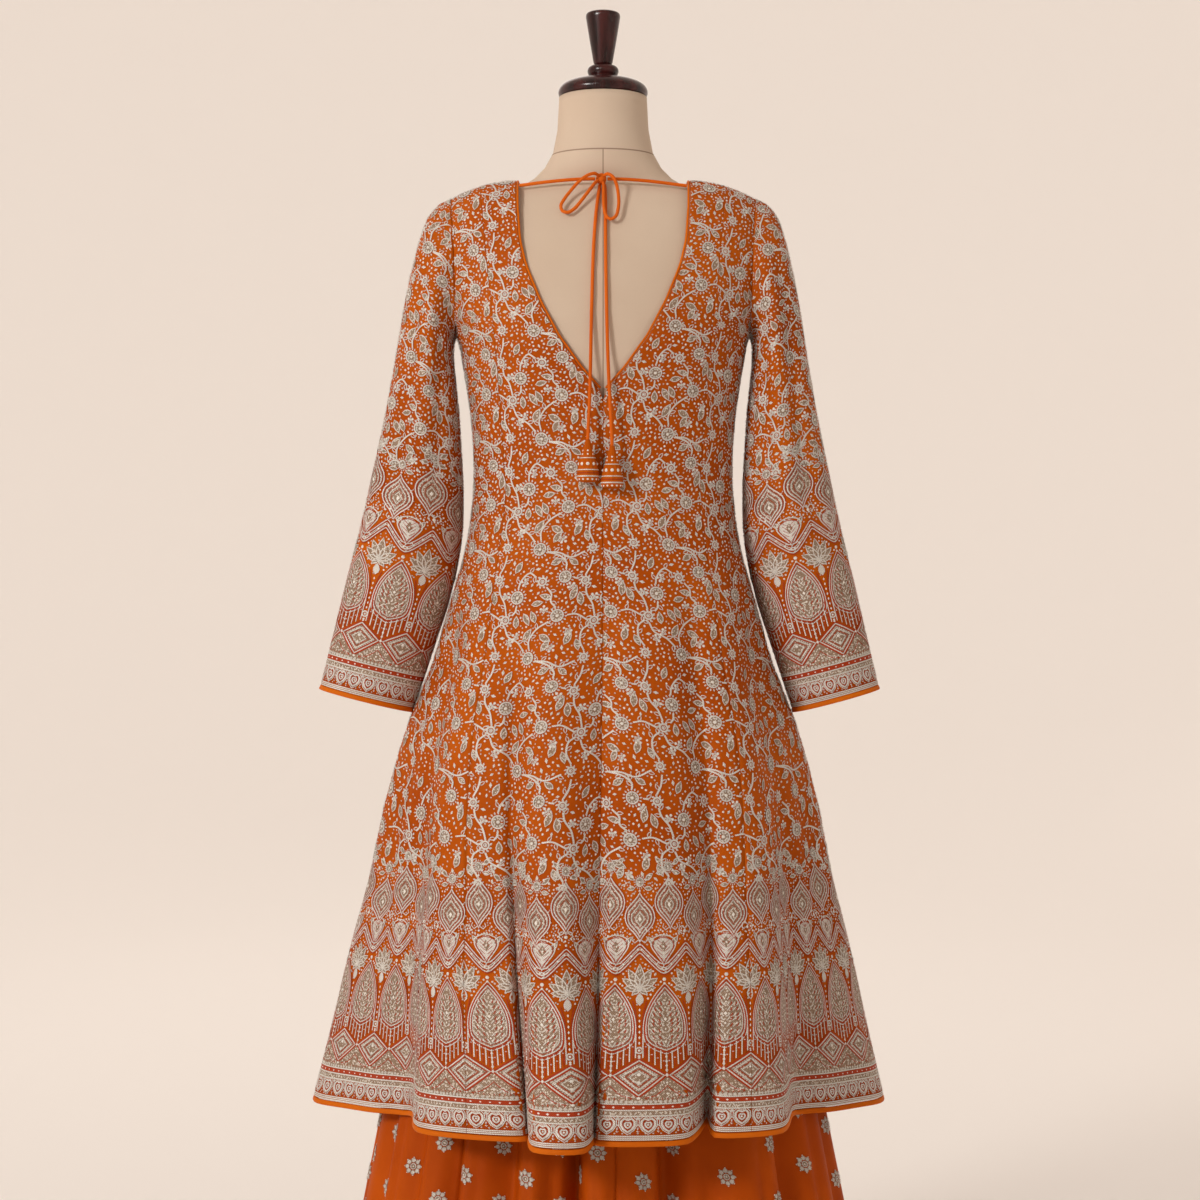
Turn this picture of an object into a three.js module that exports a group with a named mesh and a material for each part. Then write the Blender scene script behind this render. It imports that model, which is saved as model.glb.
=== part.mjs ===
// Anarkali suit seen from behind, worn by a limbless dress form on a pole stand.
// Millimetres, +Z up. The floor is z = 0 and the origin is under the middle of the base.
// The garment's back faces +Y, its front faces -Y, and +X is the wearer's left side.
import * as THREE from 'three';
import { mergeVertices } from 'three/addons/utils/BufferGeometryUtils.js';

// Driving dimensions of the kurta
const clothWall = 1.6;
const seamGap = 0.4;
const edgeGap = 0.3;
const weldReach = 0.02;
const hemHeight = 348;
const bindingHeight = 5.5;
const bindingWall = 3.0;
const bindingGap = 0.6;
const bindingFlare = 1.1;
const foldStart = 965;
const waistHeight = 1034;
const underarmHeight = 1209;
const backNeckHeight = 1135;
const frontNeckHeight = 1238;
const shoulderNeckX = 97;
const shoulderTipX = 170;
const neckPointHeight = 1381;
const shoulderTipHeight = 1362;
const yokeBase = 1190;
const sectionPower = 2.3;
const hemHalfWidth = 321;
const hemHalfDepth = 243;

// Kurta cross sections: half width, and depth behind and before the side seams
const kurtaSections = [
  { z: 348, half: 321, back: 243, front: 243 },
  { z: 430, half: 301, back: 229, front: 229 },
  { z: 514, half: 282, back: 214, front: 214 },
  { z: 599, half: 260, back: 198, front: 198 },
  { z: 684, half: 241, back: 181, front: 181 },
  { z: 769, half: 217, back: 163, front: 164 },
  { z: 837, half: 192, back: 146, front: 149 },
  { z: 904, half: 173, back: 126, front: 132 },
  { z: 972, half: 154, back: 106, front: 115 },
  { z: 1034, half: 146, back: 93, front: 104 },
  { z: 1108, half: 148, back: 95, front: 118 },
  { z: 1159, half: 155, back: 101, front: 131 },
  { z: 1209, half: 165.5, back: 105, front: 130 },
  { z: 1225, half: 172, back: 104, front: 126 },
  { z: 1250, half: 178, back: 102, front: 119 },
  { z: 1290, half: 184, back: 98, front: 108 },
  { z: 1381, half: 190, back: 92, front: 94 },
];

// Seam lines on the bodice: distance from the middle at a height
const princessLine = [
  { z: 1034, x: 107 },
  { z: 1209, x: 120 },
  { z: 1381, x: 138 },
];
const armholeLine = [
  { z: 1209, x: 165.2 },
  { z: 1250, x: 164.5 },
  { z: 1300, x: 166 },
  { z: 1362, x: 170 },
];
const backNeckline = [
  { z: 1135, x: 0 },
  { z: 1163, x: 25 },
  { z: 1198, x: 50 },
  { z: 1236, x: 70 },
  { z: 1276, x: 86 },
  { z: 1306, x: 93 },
  { z: 1345, x: 96 },
  { z: 1381, x: 97 },
];
const frontNeckline = [
  { z: 1238, x: 0 },
  { z: 1278, x: 45 },
  { z: 1321, x: 78 },
  { z: 1355, x: 92 },
  { z: 1381, x: 97 },
];

// Hem folds, a row for each ridge, from the centre back seam round by the wearer's left.
// x, y: crest of the ridge. facing: way it faces, in degrees from +Y towards +X.
// span: width of the crest. drop: how far its two edges fall back.
// valleyX, valleyY: bottom of the valley before the ridge. lift: rise of the hem there.
// seam: the seam that runs down this crest. valleySeam: the seam that runs down this valley.
const hemFolds = [
  { x: 47, y: 279, facing: 8, span: 50, drop: 8, valleyX: 8, valleyY: 216, lift: 2, valleySeam: 'centre' },
  { x: 142, y: 208, facing: 20, span: 122, drop: 12, valleyX: 77, valleyY: 196, lift: 3, seam: 'princess' },
  { x: 252, y: 78, facing: 28, span: 72, drop: 4, valleyX: 206, valleyY: 116, lift: 4 },
  { x: 327, y: 0, facing: 90, span: 56, drop: 7, seam: 'side' },
  { x: 270, y: -92, facing: 128, span: 76, drop: 6 },
  {
    x: 167, y: -186, facing: 146, span: 98, drop: 10,
    valleyX: 212, valleyY: -122, lift: 5, seam: 'princess',
  },
  { x: 56, y: -256, facing: 168, span: 82, drop: 9, valleyX: 98, valleyY: -194, lift: 6 },
  {
    x: -62, y: -267, facing: 190, span: 92, drop: 9,
    valleyX: 2, valleyY: -204, lift: 6, valleySeam: 'centre',
  },
  {
    x: -176, y: -194, facing: 216, span: 90, drop: 9,
    valleyX: -126, valleyY: -184, lift: 7, seam: 'princess',
  },
  { x: -262, y: -96, facing: 234, span: 76, drop: 6, valleyX: -218, valleyY: -122, lift: 4 },
  { x: -317, y: 0, facing: 270, span: 56, drop: 7, seam: 'side' },
  { x: -248, y: 75, facing: 332, span: 72, drop: 4 },
  {
    x: -155, y: 199, facing: 344, span: 74, drop: 9,
    valleyX: -204, valleyY: 116, lift: 4, seam: 'princess',
  },
  { x: -40, y: 243, facing: 356, span: 94, drop: 9, valleyX: -110, valleyY: 168, lift: 9 },
];

const neckBindingRadius = 1.3;
const neckBindingSides = 6;
const neckBindingStart = 0.1;
const neckBindingGap = 0.35;

// Sleeve sections: inner and outer edge seen from behind, and half depth front to back
const sleeveSections = [
  { inX: 167.5, inZ: 1203, outX: 184, outZ: 1357, depth: 51 },
  { inX: 169, inZ: 1195, outX: 197, outZ: 1341, depth: 53 },
  { inX: 169, inZ: 1183, outX: 207, outZ: 1312, depth: 54 },
  { inX: 168, inZ: 1167, outX: 215, outZ: 1279, depth: 54 },
  { inX: 165.5, inZ: 1146, outX: 223, outZ: 1240, depth: 53 },
  { inX: 162.5, inZ: 1116, outX: 232, outZ: 1184, depth: 52 },
  { inX: 160, inZ: 1076, outX: 243, outZ: 1122, depth: 50 },
  { inX: 158, inZ: 1030, outX: 255, outZ: 1064, depth: 48 },
  { inX: 160, inZ: 976, outX: 269, outZ: 1000, depth: 45 },
  { inX: 171, inZ: 920, outX: 283, outZ: 944, depth: 42 },
  { inX: 190, inZ: 860, outX: 297, outZ: 886, depth: 40 },
  { inX: 213.5, inZ: 789, outX: 314, outZ: 815, depth: 38 },
];
// Soft troughs down a sleeve. at: degrees round from the inner edge by the back.
const sleeveTroughs = [
  { at: 118, wide: 15, deep: 7, top: 1320, low: 960 },
  { at: 62, wide: 13, deep: 4, top: 1280, low: 1010 },
  { at: 246, wide: 16, deep: 6, top: 1310, low: 980 },
  { at: 300, wide: 14, deep: 4, top: 1240, low: 1000 },
];
const sleeveColumns = 16;
const sleeveLean = 4;
const armholeGap = 0.6;
const troughRise = 60;
const troughFall = 80;

// Skirt sections and gathers
const skirtRows = [25, 190, 348, 540, 740, 900, 998];
const skirtSections = [
  { z: 25, half: 313, depth: 246, gather: 22, power: 2 },
  { z: 243, half: 268, depth: 198, gather: 17, power: 2 },
  { z: 348, half: 246, depth: 178, gather: 14, power: 2 },
  { z: 520, half: 223, depth: 164, gather: 10, power: 2 },
  { z: 740, half: 194, depth: 143, gather: 7, power: 2 },
  { z: 840, half: 176, depth: 128, gather: 4, power: 2.1 },
  { z: 900, half: 161, depth: 113, gather: 3, power: 2.2 },
  { z: 998, half: 133.2, depth: 84.2, gather: 0.7, power: 2.2 },
];
const shallowGather = 0.55;
const gatherShoulder = 1.25;
// Valleys between the gathers, in degrees from +Y towards +X
const skirtGathers = [
  { at: 8.5, deep: 1.3, wide: 2.6 },
  { at: 14.5, deep: 0.5, wide: 2.6 },
  { at: 26.7, deep: 1.0, wide: 4.2 },
  { at: 42.4, deep: 0.9, wide: 3.6 },
  { at: 54.1, deep: 0.6, wide: 3.2 },
  { at: 67.9, deep: 0.5, wide: 3.2 },
  { at: 84, deep: 0.8, wide: 4.2 },
  { at: 100, deep: 0.7, wide: 4.2 },
  { at: 116, deep: 1.0, wide: 4.4 },
  { at: 131, deep: 0.6, wide: 4.0 },
  { at: 145, deep: 1.2, wide: 4.4 },
  { at: 158, deep: 0.5, wide: 3.6 },
  { at: 170, deep: 1.0, wide: 4.0 },
  { at: 183, deep: 0.6, wide: 4.0 },
  { at: 196, deep: 1.2, wide: 4.2 },
  { at: 210, deep: 0.5, wide: 4.0 },
  { at: 224, deep: 1.0, wide: 4.4 },
  { at: 238, deep: 0.8, wide: 4.0 },
  { at: 254, deep: 1.0, wide: 4.4 },
  { at: 270, deep: 0.6, wide: 4.2 },
  { at: 284.3, deep: 0.5, wide: 3.4 },
  { at: 305.9, deep: 1.2, wide: 4.6 },
  { at: 331, deep: 0.5, wide: 3.6 },
  { at: 341, deep: 1.2, wide: 4.0 },
  { at: 356.7, deep: 0.4, wide: 3.4 },
];
// Widths of cloth sewn into the skirt, each from a valley to a valley
const skirtWidths = [
  { name: 'skirt_back_left', from: 356.7, to: 42.4 },
  { name: 'skirt_side_back_left', from: 42.4, to: 84 },
  { name: 'skirt_side_front_left', from: 84, to: 131 },
  { name: 'skirt_front_left', from: 131, to: 183 },
  { name: 'skirt_front_right', from: 183, to: 224 },
  { name: 'skirt_side_front_right', from: 224, to: 270 },
  { name: 'skirt_side_back_right', from: 270, to: 305.9 },
  { name: 'skirt_back_right', from: 305.9, to: 356.7 },
];
const angleReach = 1e-6;

// Dress form: cloth covered torso, cut off flat below the hips
const formSections = [
  { z: 770, half: 150, back: 98, front: 100, power: 2.2 },
  { z: 776, half: 158, back: 104, front: 106, power: 2.2 },
  { z: 840, half: 163, back: 112, front: 112, power: 2.2 },
  { z: 900, half: 150, back: 102, front: 101, power: 2.2 },
  { z: 960, half: 134, back: 86, front: 86, power: 2.2 },
  { z: 1000, half: 128.5, back: 79.5, front: 80, power: 2.2 },
  { z: 1034, half: 126, back: 78, front: 80, power: 2.2 },
  { z: 1080, half: 129, back: 85, front: 94, power: 2.2 },
  { z: 1135, half: 138, back: 92.5, front: 116, power: 2.3 },
  { z: 1180, half: 147, back: 98.5, front: 124, power: 2.4 },
  { z: 1225, half: 153, back: 100, front: 118, power: 2.5 },
  { z: 1270, half: 158, back: 94.5, front: 107, power: 2.6 },
  { z: 1310, half: 160, back: 82, front: 90, power: 2.6 },
  { z: 1340, half: 160, back: 68.5, front: 73, power: 2.5 },
  { z: 1356, half: 156, back: 57.5, front: 60, power: 2.3 },
  { z: 1364, half: 150, back: 51, front: 52, power: 2.2 },
  { z: 1374, half: 134, back: 39, front: 40, power: 2.0 },
  { z: 1376.2, half: 108, back: 34, front: 35, power: 2.0 },
  { z: 1378, half: 90, back: 35, front: 36, power: 2.0 },
  { z: 1385, half: 78, back: 40, front: 40, power: 2.0 },
  { z: 1397, half: 66, back: 44, front: 44, power: 2.0 },
  { z: 1414, half: 56.5, back: 48, front: 48, power: 2.0 },
  { z: 1440, half: 51.5, back: 49, front: 49, power: 2.0 },
  { z: 1477, half: 49.5, back: 49.5, front: 49.5, power: 2.0 },
];
const formColumns = 28;
const waistbandLow = 998.3;
const waistbandHigh = 1030;
const waistbandWall = 2;
const waistbandEase = 1000;

// Neck cap, finial, pole and base, all turned: radius at a height
const capProfile = [
  { r: 0, z: 1477.3 }, { r: 47, z: 1477.3 }, { r: 50, z: 1480.5 }, { r: 50.5, z: 1484 },
  { r: 49, z: 1488 }, { r: 43, z: 1493 }, { r: 33, z: 1496.5 }, { r: 20, z: 1498.8 },
  { r: 15.5, z: 1500 }, { r: 17, z: 1503 }, { r: 17.6, z: 1507 }, { r: 16, z: 1511.5 },
  { r: 12, z: 1513.7 }, { r: 0, z: 1513.7 },
];
const finialProfile = [
  { r: 0, z: 1514 }, { r: 9.4, z: 1514 }, { r: 10.6, z: 1516 }, { r: 12.4, z: 1526 },
  { r: 15, z: 1541 }, { r: 17.6, z: 1556 }, { r: 19.2, z: 1566.5 }, { r: 19.4, z: 1569.5 },
  { r: 18, z: 1572 }, { r: 13, z: 1573.6 }, { r: 0, z: 1574.6 },
];
const poleRadius = 17.5;
const baseRadius = 200;
const baseHeight = 26;
const turnedSides = 24;

// Back tie: a round cord of the kurta's cloth, knotted in a bow, with a cone at each end
const cordDiameter = 3.8;
const cordSides = 8;
const cordStep = 11;
const knot = { x: 2, y: 49.2, z: 1377, radius: 6.6 };
const tieLeftRoute = [
  [92.9, 45, 1370.5], [84, 46, 1371.4], [70, 46.8, 1373.2], [50, 47.6, 1375.3], [30, 48.4, 1376.7],
  [16, 48.9, 1377.1], [8.85, 49, 1377],
];
const tieRightRoute = [
  [-92.9, 45, 1370.2], [-84, 46, 1371], [-70, 46.8, 1372.8], [-50, 47.6, 1375], [-28, 48.4, 1376.6],
  [-12, 48.9, 1377], [-4.85, 49, 1377],
];
const loopLeftRoute = [
  [5.1, 54.7, 1379.8], [9, 59, 1381.5], [17, 61.5, 1379], [27, 62.5, 1371.5], [36, 64.5, 1361],
  [43, 69, 1351], [46.5, 73.5, 1343], [44.5, 76.3, 1337], [38.5, 76.8, 1335.5], [31.5, 74.5, 1340],
  [24, 70, 1349.5], [16.5, 65.5, 1360], [10.5, 59.5, 1369], [6.3, 53.9, 1374.3],
];
const loopRightRoute = [
  [-1.1, 54.7, 1379.8], [-5, 59, 1381], [-10.5, 62.5, 1377.5], [-14.8, 66, 1368], [-17, 71, 1354],
  [-16.8, 76.5, 1341], [-13.8, 81.5, 1330.5], [-8, 83.4, 1327], [-3, 81.6, 1331.5], [-1, 77, 1342],
  [-0.6, 70.5, 1354], [-0.6, 62, 1364.5], [-0.4, 53.5, 1372.2],
];
const tailLeftRoute = [
  [3.8, 49.2, 1369.9], [4, 50, 1368.3], [4.3, 53.2, 1365.3], [4.8, 57, 1361.2], [5.4, 61, 1356],
  [6.4, 66.6, 1348],
  [7.7, 74, 1336], [9, 81, 1320], [10.2, 88.6, 1300], [11.2, 96, 1275], [12, 101, 1245],
  [12.9, 104, 1210], [13.4, 105.8, 1180], [14.2, 107, 1145], [15.2, 107.3, 1115], [16.2, 107.3, 1096],
  [16.6, 107.3, 1084.3],
];
const tailRightRoute = [
  [-1.3, 49.2, 1370.5], [-1.8, 50, 1369], [-2.1, 53.2, 1365.3], [-2.3, 57, 1361.2], [-2.4, 61, 1356],
  [-2.6, 66.6, 1348],
  [-2.6, 74, 1336], [-2.6, 81, 1320], [-2.7, 88.6, 1300], [-2.9, 96, 1275], [-3.4, 101, 1245],
  [-4.2, 104, 1210], [-5, 105.8, 1180], [-6.4, 107, 1145], [-8, 107.3, 1115], [-9.2, 107.3, 1091],
  [-9.7, 107.3, 1077.3],
];
// Fabric cones on the tails: radius at a depth below the cone's top
const coneProfile = [
  { r: 0, drop: 0 }, { r: 2.6, drop: 0 }, { r: 3.4, drop: 4 }, { r: 6, drop: 13 },
  { r: 9.6, drop: 26 }, { r: 12.2, drop: 37 }, { r: 12.4, drop: 41 }, { r: 10, drop: 45 },
  { r: 0, drop: 46.5 },
];
const coneSides = 14;

// Finishes
const embroideredOrange = { color: 0xc8500f, roughness: 0.8, metalness: 0 };
const plainOrange = { color: 0xd1561a, roughness: 0.7, metalness: 0 };
const skirtOrange = { color: 0xb5460c, roughness: 0.65, metalness: 0 };
const creamCotton = { color: 0xe4cbb4, roughness: 0.85, metalness: 0 };
const darkWood = { color: 0x2a120c, roughness: 0.25, metalness: 0 };

const garment = new THREE.Group();

function addMesh(name, geometry, finish) {
  const mesh = new THREE.Mesh(geometry, new THREE.MeshStandardMaterial(finish));
  mesh.name = name;
  garment.add(mesh);
}

function lookUp(table, key, z) {
  const first = table[0];
  const last = table[table.length - 1];
  if (z <= first.z) return first[key];
  if (z >= last.z) return last[key];
  let k = 0;
  while (z > table[k + 1].z) k += 1;
  const f = (z - table[k].z) / (table[k + 1].z - table[k].z);
  return table[k][key] + f * (table[k + 1][key] - table[k][key]);
}

function mix(a, b, f) {
  return a + (b - a) * f;
}

// A closed sheet of cloth: outer points, the same points moved in, and the rims between
function wallGeometry(outer, normals, wall, wraps) {
  const rows = outer.length;
  const columns = outer[0].length;
  const points = [];
  for (let side = 0; side < 2; side += 1) {
    for (let r = 0; r < rows; r += 1) {
      for (let c = 0; c < columns; c += 1) {
        const p = outer[r][c].clone();
        if (side === 1) p.addScaledVector(normals[r][c], -wall);
        points.push(p);
      }
    }
  }
  const at = (side, r, c) => side * rows * columns + r * columns + (c % columns);
  const faces = [];
  const quad = (a, b, c, d) => faces.push(a, b, c, a, c, d);
  const last = wraps ? columns : columns - 1;
  for (let r = 0; r < rows - 1; r += 1) {
    for (let c = 0; c < last; c += 1) {
      quad(at(0, r, c), at(0, r + 1, c), at(0, r + 1, c + 1), at(0, r, c + 1));
      quad(at(1, r, c), at(1, r, c + 1), at(1, r + 1, c + 1), at(1, r + 1, c));
    }
  }
  for (let c = 0; c < last; c += 1) {
    quad(at(0, 0, c), at(0, 0, c + 1), at(1, 0, c + 1), at(1, 0, c));
    quad(at(0, rows - 1, c), at(1, rows - 1, c), at(1, rows - 1, c + 1), at(0, rows - 1, c + 1));
  }
  if (!wraps) {
    for (let r = 0; r < rows - 1; r += 1) {
      quad(at(0, r, 0), at(1, r, 0), at(1, r + 1, 0), at(0, r + 1, 0));
      quad(at(0, r, last), at(0, r + 1, last), at(1, r + 1, last), at(1, r, last));
    }
  }
  const geometry = new THREE.BufferGeometry();
  const places = points.flatMap((p) => [p.x, p.y, p.z]);
  geometry.setAttribute('position', new THREE.Float32BufferAttribute(places, 3));
  geometry.setIndex(faces);
  return outwardFaces(geometry);
}

// Normals of several grids of points, smoothed over the seams that they share
function smoothNormals(grids, wraps) {
  const flat = [];
  const faces = [];
  const starts = [];
  for (const grid of grids) {
    const columns = grid[0].length;
    const start = flat.length / 3;
    starts.push(start);
    for (const row of grid) {
      for (const p of row) flat.push(p.x, p.y, p.z);
    }
    const last = wraps ? columns : columns - 1;
    for (let r = 0; r < grid.length - 1; r += 1) {
      for (let c = 0; c < last; c += 1) {
        const a = start + r * columns + c;
        const b = start + r * columns + ((c + 1) % columns);
        faces.push(a, a + columns, b + columns, a, b + columns, b);
      }
    }
  }
  const geometry = new THREE.BufferGeometry();
  geometry.setAttribute('position', new THREE.Float32BufferAttribute(flat, 3));
  geometry.setIndex(faces);
  const welded = mergeVertices(geometry, weldReach);
  welded.computeVertexNormals();
  const found = new Map();
  const place = welded.getAttribute('position');
  const normal = welded.getAttribute('normal');
  const keyOf = (x, y, z) => [x, y, z].map((v) => Math.round(v / (2 * weldReach))).join(' ');
  for (let i = 0; i < place.count; i += 1) {
    const n = new THREE.Vector3().fromBufferAttribute(normal, i);
    for (let k = 0; k < 27; k += 1) {
      const x = place.getX(i) + ((k % 3) - 1) * weldReach;
      const y = place.getY(i) + ((Math.floor(k / 3) % 3) - 1) * weldReach;
      const z = place.getZ(i) + (Math.floor(k / 9) - 1) * weldReach;
      found.set(keyOf(x, y, z), n);
    }
  }
  return grids.map((grid) => grid.map((row) => row.map((p) => found.get(keyOf(p.x, p.y, p.z)))));
}

// Kurta: section of the body at a height, as a rounded box in plan
function ridgeHeight(x) {
  const run = Math.max(0, Math.abs(x) - shoulderNeckX) / (shoulderTipX - shoulderNeckX);
  return neckPointHeight - (neckPointHeight - shoulderTipHeight) * run * run;
}

function angleAt(x, z) {
  const share = Math.min(1, x / lookUp(kurtaSections, 'half', z));
  return Math.asin(share ** (sectionPower / 2));
}

function bodyPoint(angle, z, behind) {
  const share = Math.sin(angle) ** (2 / sectionPower);
  const x = lookUp(kurtaSections, 'half', z) * share;
  const depth = lookUp(kurtaSections, behind ? 'back' : 'front', z);
  const climb = Math.max(0, Math.min(1, (z - yokeBase) / (ridgeHeight(x) - yokeBase)));
  const y = depth * Math.max(0, Math.cos(angle)) ** (2 / sectionPower) * Math.cbrt(1 - climb ** 3);
  return new THREE.Vector3(x, behind ? y : -y, z);
}

// Hem line: the crest, both edges and the valley of each fold, joined by a smooth curve
function hemColumns() {
  const points = [];
  for (const fold of hemFolds) {
    const angle = THREE.MathUtils.degToRad(fold.facing);
    const out = new THREE.Vector3(Math.sin(angle), Math.cos(angle), 0);
    const along = new THREE.Vector3(Math.cos(angle), -Math.sin(angle), 0);
    const crest = new THREE.Vector3(fold.x, fold.y, 0);
    if (fold.valleyX !== undefined) {
      const valley = new THREE.Vector3(fold.valleyX, fold.valleyY, 0);
      points.push({ p: valley, lift: fold.lift, steps: 1, seam: fold.valleySeam });
    }
    const edge = (way) => {
      const p = crest.clone().addScaledVector(along, (way * fold.span) / 2);
      return p.addScaledVector(out, -fold.drop);
    };
    points.push({ p: edge(-1), lift: 0, steps: 2 });
    points.push({ p: crest, lift: 0, steps: 2, seam: fold.seam });
    points.push({ p: edge(1), lift: 0, steps: 1 });
  }
  const curve = new THREE.CatmullRomCurve3(points.map((c) => c.p), true, 'centripetal');
  const columns = [];
  points.forEach((control, i) => {
    const next = points[(i + 1) % points.length];
    for (let s = 0; s < control.steps; s += 1) {
      const f = s / control.steps;
      const p = curve.getPoint((i + f) / points.length);
      const seam = s === 0 ? control.seam : undefined;
      columns.push({ x: p.x, y: p.y, lift: mix(control.lift, next.lift, f), seam });
    }
  });
  return columns;
}

// The eight panels, in order round the hem from the centre back seam
const panelNames = [
  'kurta_back_left', 'kurta_side_back_left', 'kurta_side_front_left', 'kurta_front_left',
  'kurta_front_right', 'kurta_side_front_right', 'kurta_side_back_right', 'kurta_back_right',
];
const skirtedHeights = [hemHeight + bindingHeight + 0.3, 480, 610, 730, 840, 950];
const bodiceHeights = [waistHeight, backNeckHeight, 1172];
const frontNeckStep = (frontNeckHeight - underarmHeight) / (neckPointHeight - underarmHeight);
const yokeSteps = [0, 0.055, frontNeckStep, 0.42, 0.7, 0.9, 0.98, 1];

function panelPoint(panel, share, hem, z) {
  const behind = panel < 2 || panel > 5;
  const sideways = panel === 1 || panel === 2 || panel === 5 || panel === 6;
  const neckline = behind ? backNeckline : frontNeckline;
  const low = Math.max(z, waistHeight);
  const princess = angleAt(lookUp(princessLine, 'x', low), low);
  const side = z > underarmHeight ? angleAt(lookUp(armholeLine, 'x', z), z) : Math.PI / 2;
  const middle = z > neckline[0].z ? angleAt(lookUp(neckline, 'x', z), z) : 0;
  const angle = sideways ? mix(princess, side, share) : mix(middle, princess, share);
  const p = bodyPoint(angle, z, behind);
  if (panel > 3) p.x = -p.x;
  if (z < foldStart) {
    const grow = (foldStart - z) / (foldStart - hemHeight);
    const wide = lookUp(kurtaSections, 'half', z);
    const deep = lookUp(kurtaSections, behind ? 'back' : 'front', z);
    p.x = mix(p.x, (wide * hem.x) / hemHalfWidth, grow);
    p.y = mix(p.y, (deep * hem.y) / hemHalfDepth, grow);
    p.z += hem.lift * grow ** 3;
  }
  return p;
}

function kurtaPanels() {
  const columns = hemColumns();
  const seams = columns.flatMap((c, i) => (c.seam ? [i] : []));
  return panelNames.map((name, panel) => {
    const start = seams[panel];
    const end = panel === 7 ? columns.length : seams[panel + 1];
    const mine = [];
    for (let i = start; i <= end; i += 1) mine.push(columns[i % columns.length]);
    const reach = [0];
    for (let i = 1; i < mine.length; i += 1) {
      reach.push(reach[i - 1] + Math.hypot(mine[i].x - mine[i - 1].x, mine[i].y - mine[i - 1].y));
    }
    const total = reach[reach.length - 1];
    const fromMiddle = panel === 0 || panel === 1 || panel === 4 || panel === 5;
    const shares = reach.map((s) => (fromMiddle ? s / total : 1 - s / total));
    const rows = [];
    for (const z of skirtedHeights.concat(bodiceHeights)) {
      rows.push(mine.map((hem, i) => panelPoint(panel, shares[i], hem, z)));
    }
    for (const step of yokeSteps) {
      rows.push(mine.map((hem, i) => {
        let z = mix(underarmHeight, neckPointHeight, step);
        for (let pass = 0; pass < 6; pass += 1) {
          const x = panelPoint(panel, shares[i], hem, z).x;
          z = mix(underarmHeight, ridgeHeight(x), step);
        }
        const p = panelPoint(panel, shares[i], hem, z);
        if (step === 1) p.y = 0;
        return p;
      }));
    }
    return { name, rows };
  });
}

// Parts the edges of a panel from its neighbours by half a seam gap
function partedEdges(rows, ridgeWay) {
  return rows.map((row, r) => row.map((p, c) => {
    const moved = p.clone();
    const last = row.length - 1;
    if (c === 0) moved.addScaledVector(row[1].clone().sub(p).normalize(), seamGap / 2);
    if (c === last) moved.addScaledVector(row[last - 1].clone().sub(p).normalize(), seamGap / 2);
    if (r === rows.length - 1) moved.y += (ridgeWay * seamGap) / 2;
    return moved;
  }));
}

function buildKurta() {
  const panels = kurtaPanels();
  const normals = smoothNormals(panels.map((panel) => panel.rows), false);
  for (const grid of normals) {
    const ridge = grid.length - 1;
    grid[ridge] = grid[ridge].map((n) => n.clone().setY(0).normalize());
  }
  panels.forEach((panel, k) => {
    const rows = partedEdges(panel.rows, k < 2 || k > 5 ? 1 : -1);
    addMesh(panel.name, wallGeometry(rows, normals[k], clothWall, false), embroideredOrange);
  });
  return { panels, normals };
}

// Binding on the kurta's hem, in two lengths joined at the side seams
function buildHemBinding(kurta) {
  const lengths = [
    { name: 'kurta_hem_binding_front', panels: [2, 3, 4, 5] },
    { name: 'kurta_hem_binding_back', panels: [6, 7, 0, 1] },
  ];
  for (const length of lengths) {
    const top = [];
    const normals = [];
    for (const k of length.panels) {
      kurta.panels[k].rows[0].forEach((p, c) => {
        if (c > 0 || top.length === 0) {
          const slope = kurta.normals[k][0][c];
          const n = slope.clone().setZ(0).normalize();
          const under = p.z - bindingGap - clothWall * Math.abs(slope.z);
          const out = (bindingWall - clothWall) / 2;
          top.push(p.clone().addScaledVector(n, out).setZ(under));
          normals.push(n);
        }
      });
    }
    const low = top.map((p, c) => {
      const down = p.clone().setZ(p.z - bindingHeight);
      return down.addScaledVector(normals[c], bindingFlare);
    });
    const rows = partedEdges([low, top], 0);
    addMesh(length.name, wallGeometry(rows, [normals, normals], bindingWall, false), plainOrange);
  }
}

// Binding on the neck edge: a narrow rolled strip on the inner edges of the front and back
function edgeTube(points, radius, sides) {
  const rings = points.map((p, i) => {
    const before = points[Math.max(0, i - 1)];
    const after = points[Math.min(points.length - 1, i + 1)];
    const along = after.clone().sub(before).normalize();
    const first = new THREE.Vector3(0, 1, 0).cross(along).normalize();
    const second = along.clone().cross(first).normalize();
    const ring = [];
    for (let s = 0; s < sides; s += 1) {
      const a = (2 * Math.PI * s) / sides;
      const wide = radius * Math.cos(a);
      const high = radius * Math.sin(a);
      ring.push(p.clone().addScaledVector(first, wide).addScaledVector(second, high));
    }
    return ring;
  });
  return closedStack(rings);
}

// A closed body through rings of points, with a flat fan at each end
function closedStack(rings) {
  const count = rings[0].length;
  const points = rings.flat();
  const faces = [];
  for (let r = 0; r < rings.length - 1; r += 1) {
    for (let c = 0; c < count; c += 1) {
      const a = r * count + c;
      const b = r * count + ((c + 1) % count);
      faces.push(a, b, b + count, a, b + count, a + count);
    }
  }
  const top = (rings.length - 1) * count;
  for (let c = 1; c < count - 1; c += 1) {
    faces.push(0, c + 1, c);
    faces.push(top, top + c, top + c + 1);
  }
  const geometry = new THREE.BufferGeometry();
  const places = points.flatMap((p) => [p.x, p.y, p.z]);
  geometry.setAttribute('position', new THREE.Float32BufferAttribute(places, 3));
  geometry.setIndex(faces);
  return outwardFaces(geometry);
}

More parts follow.
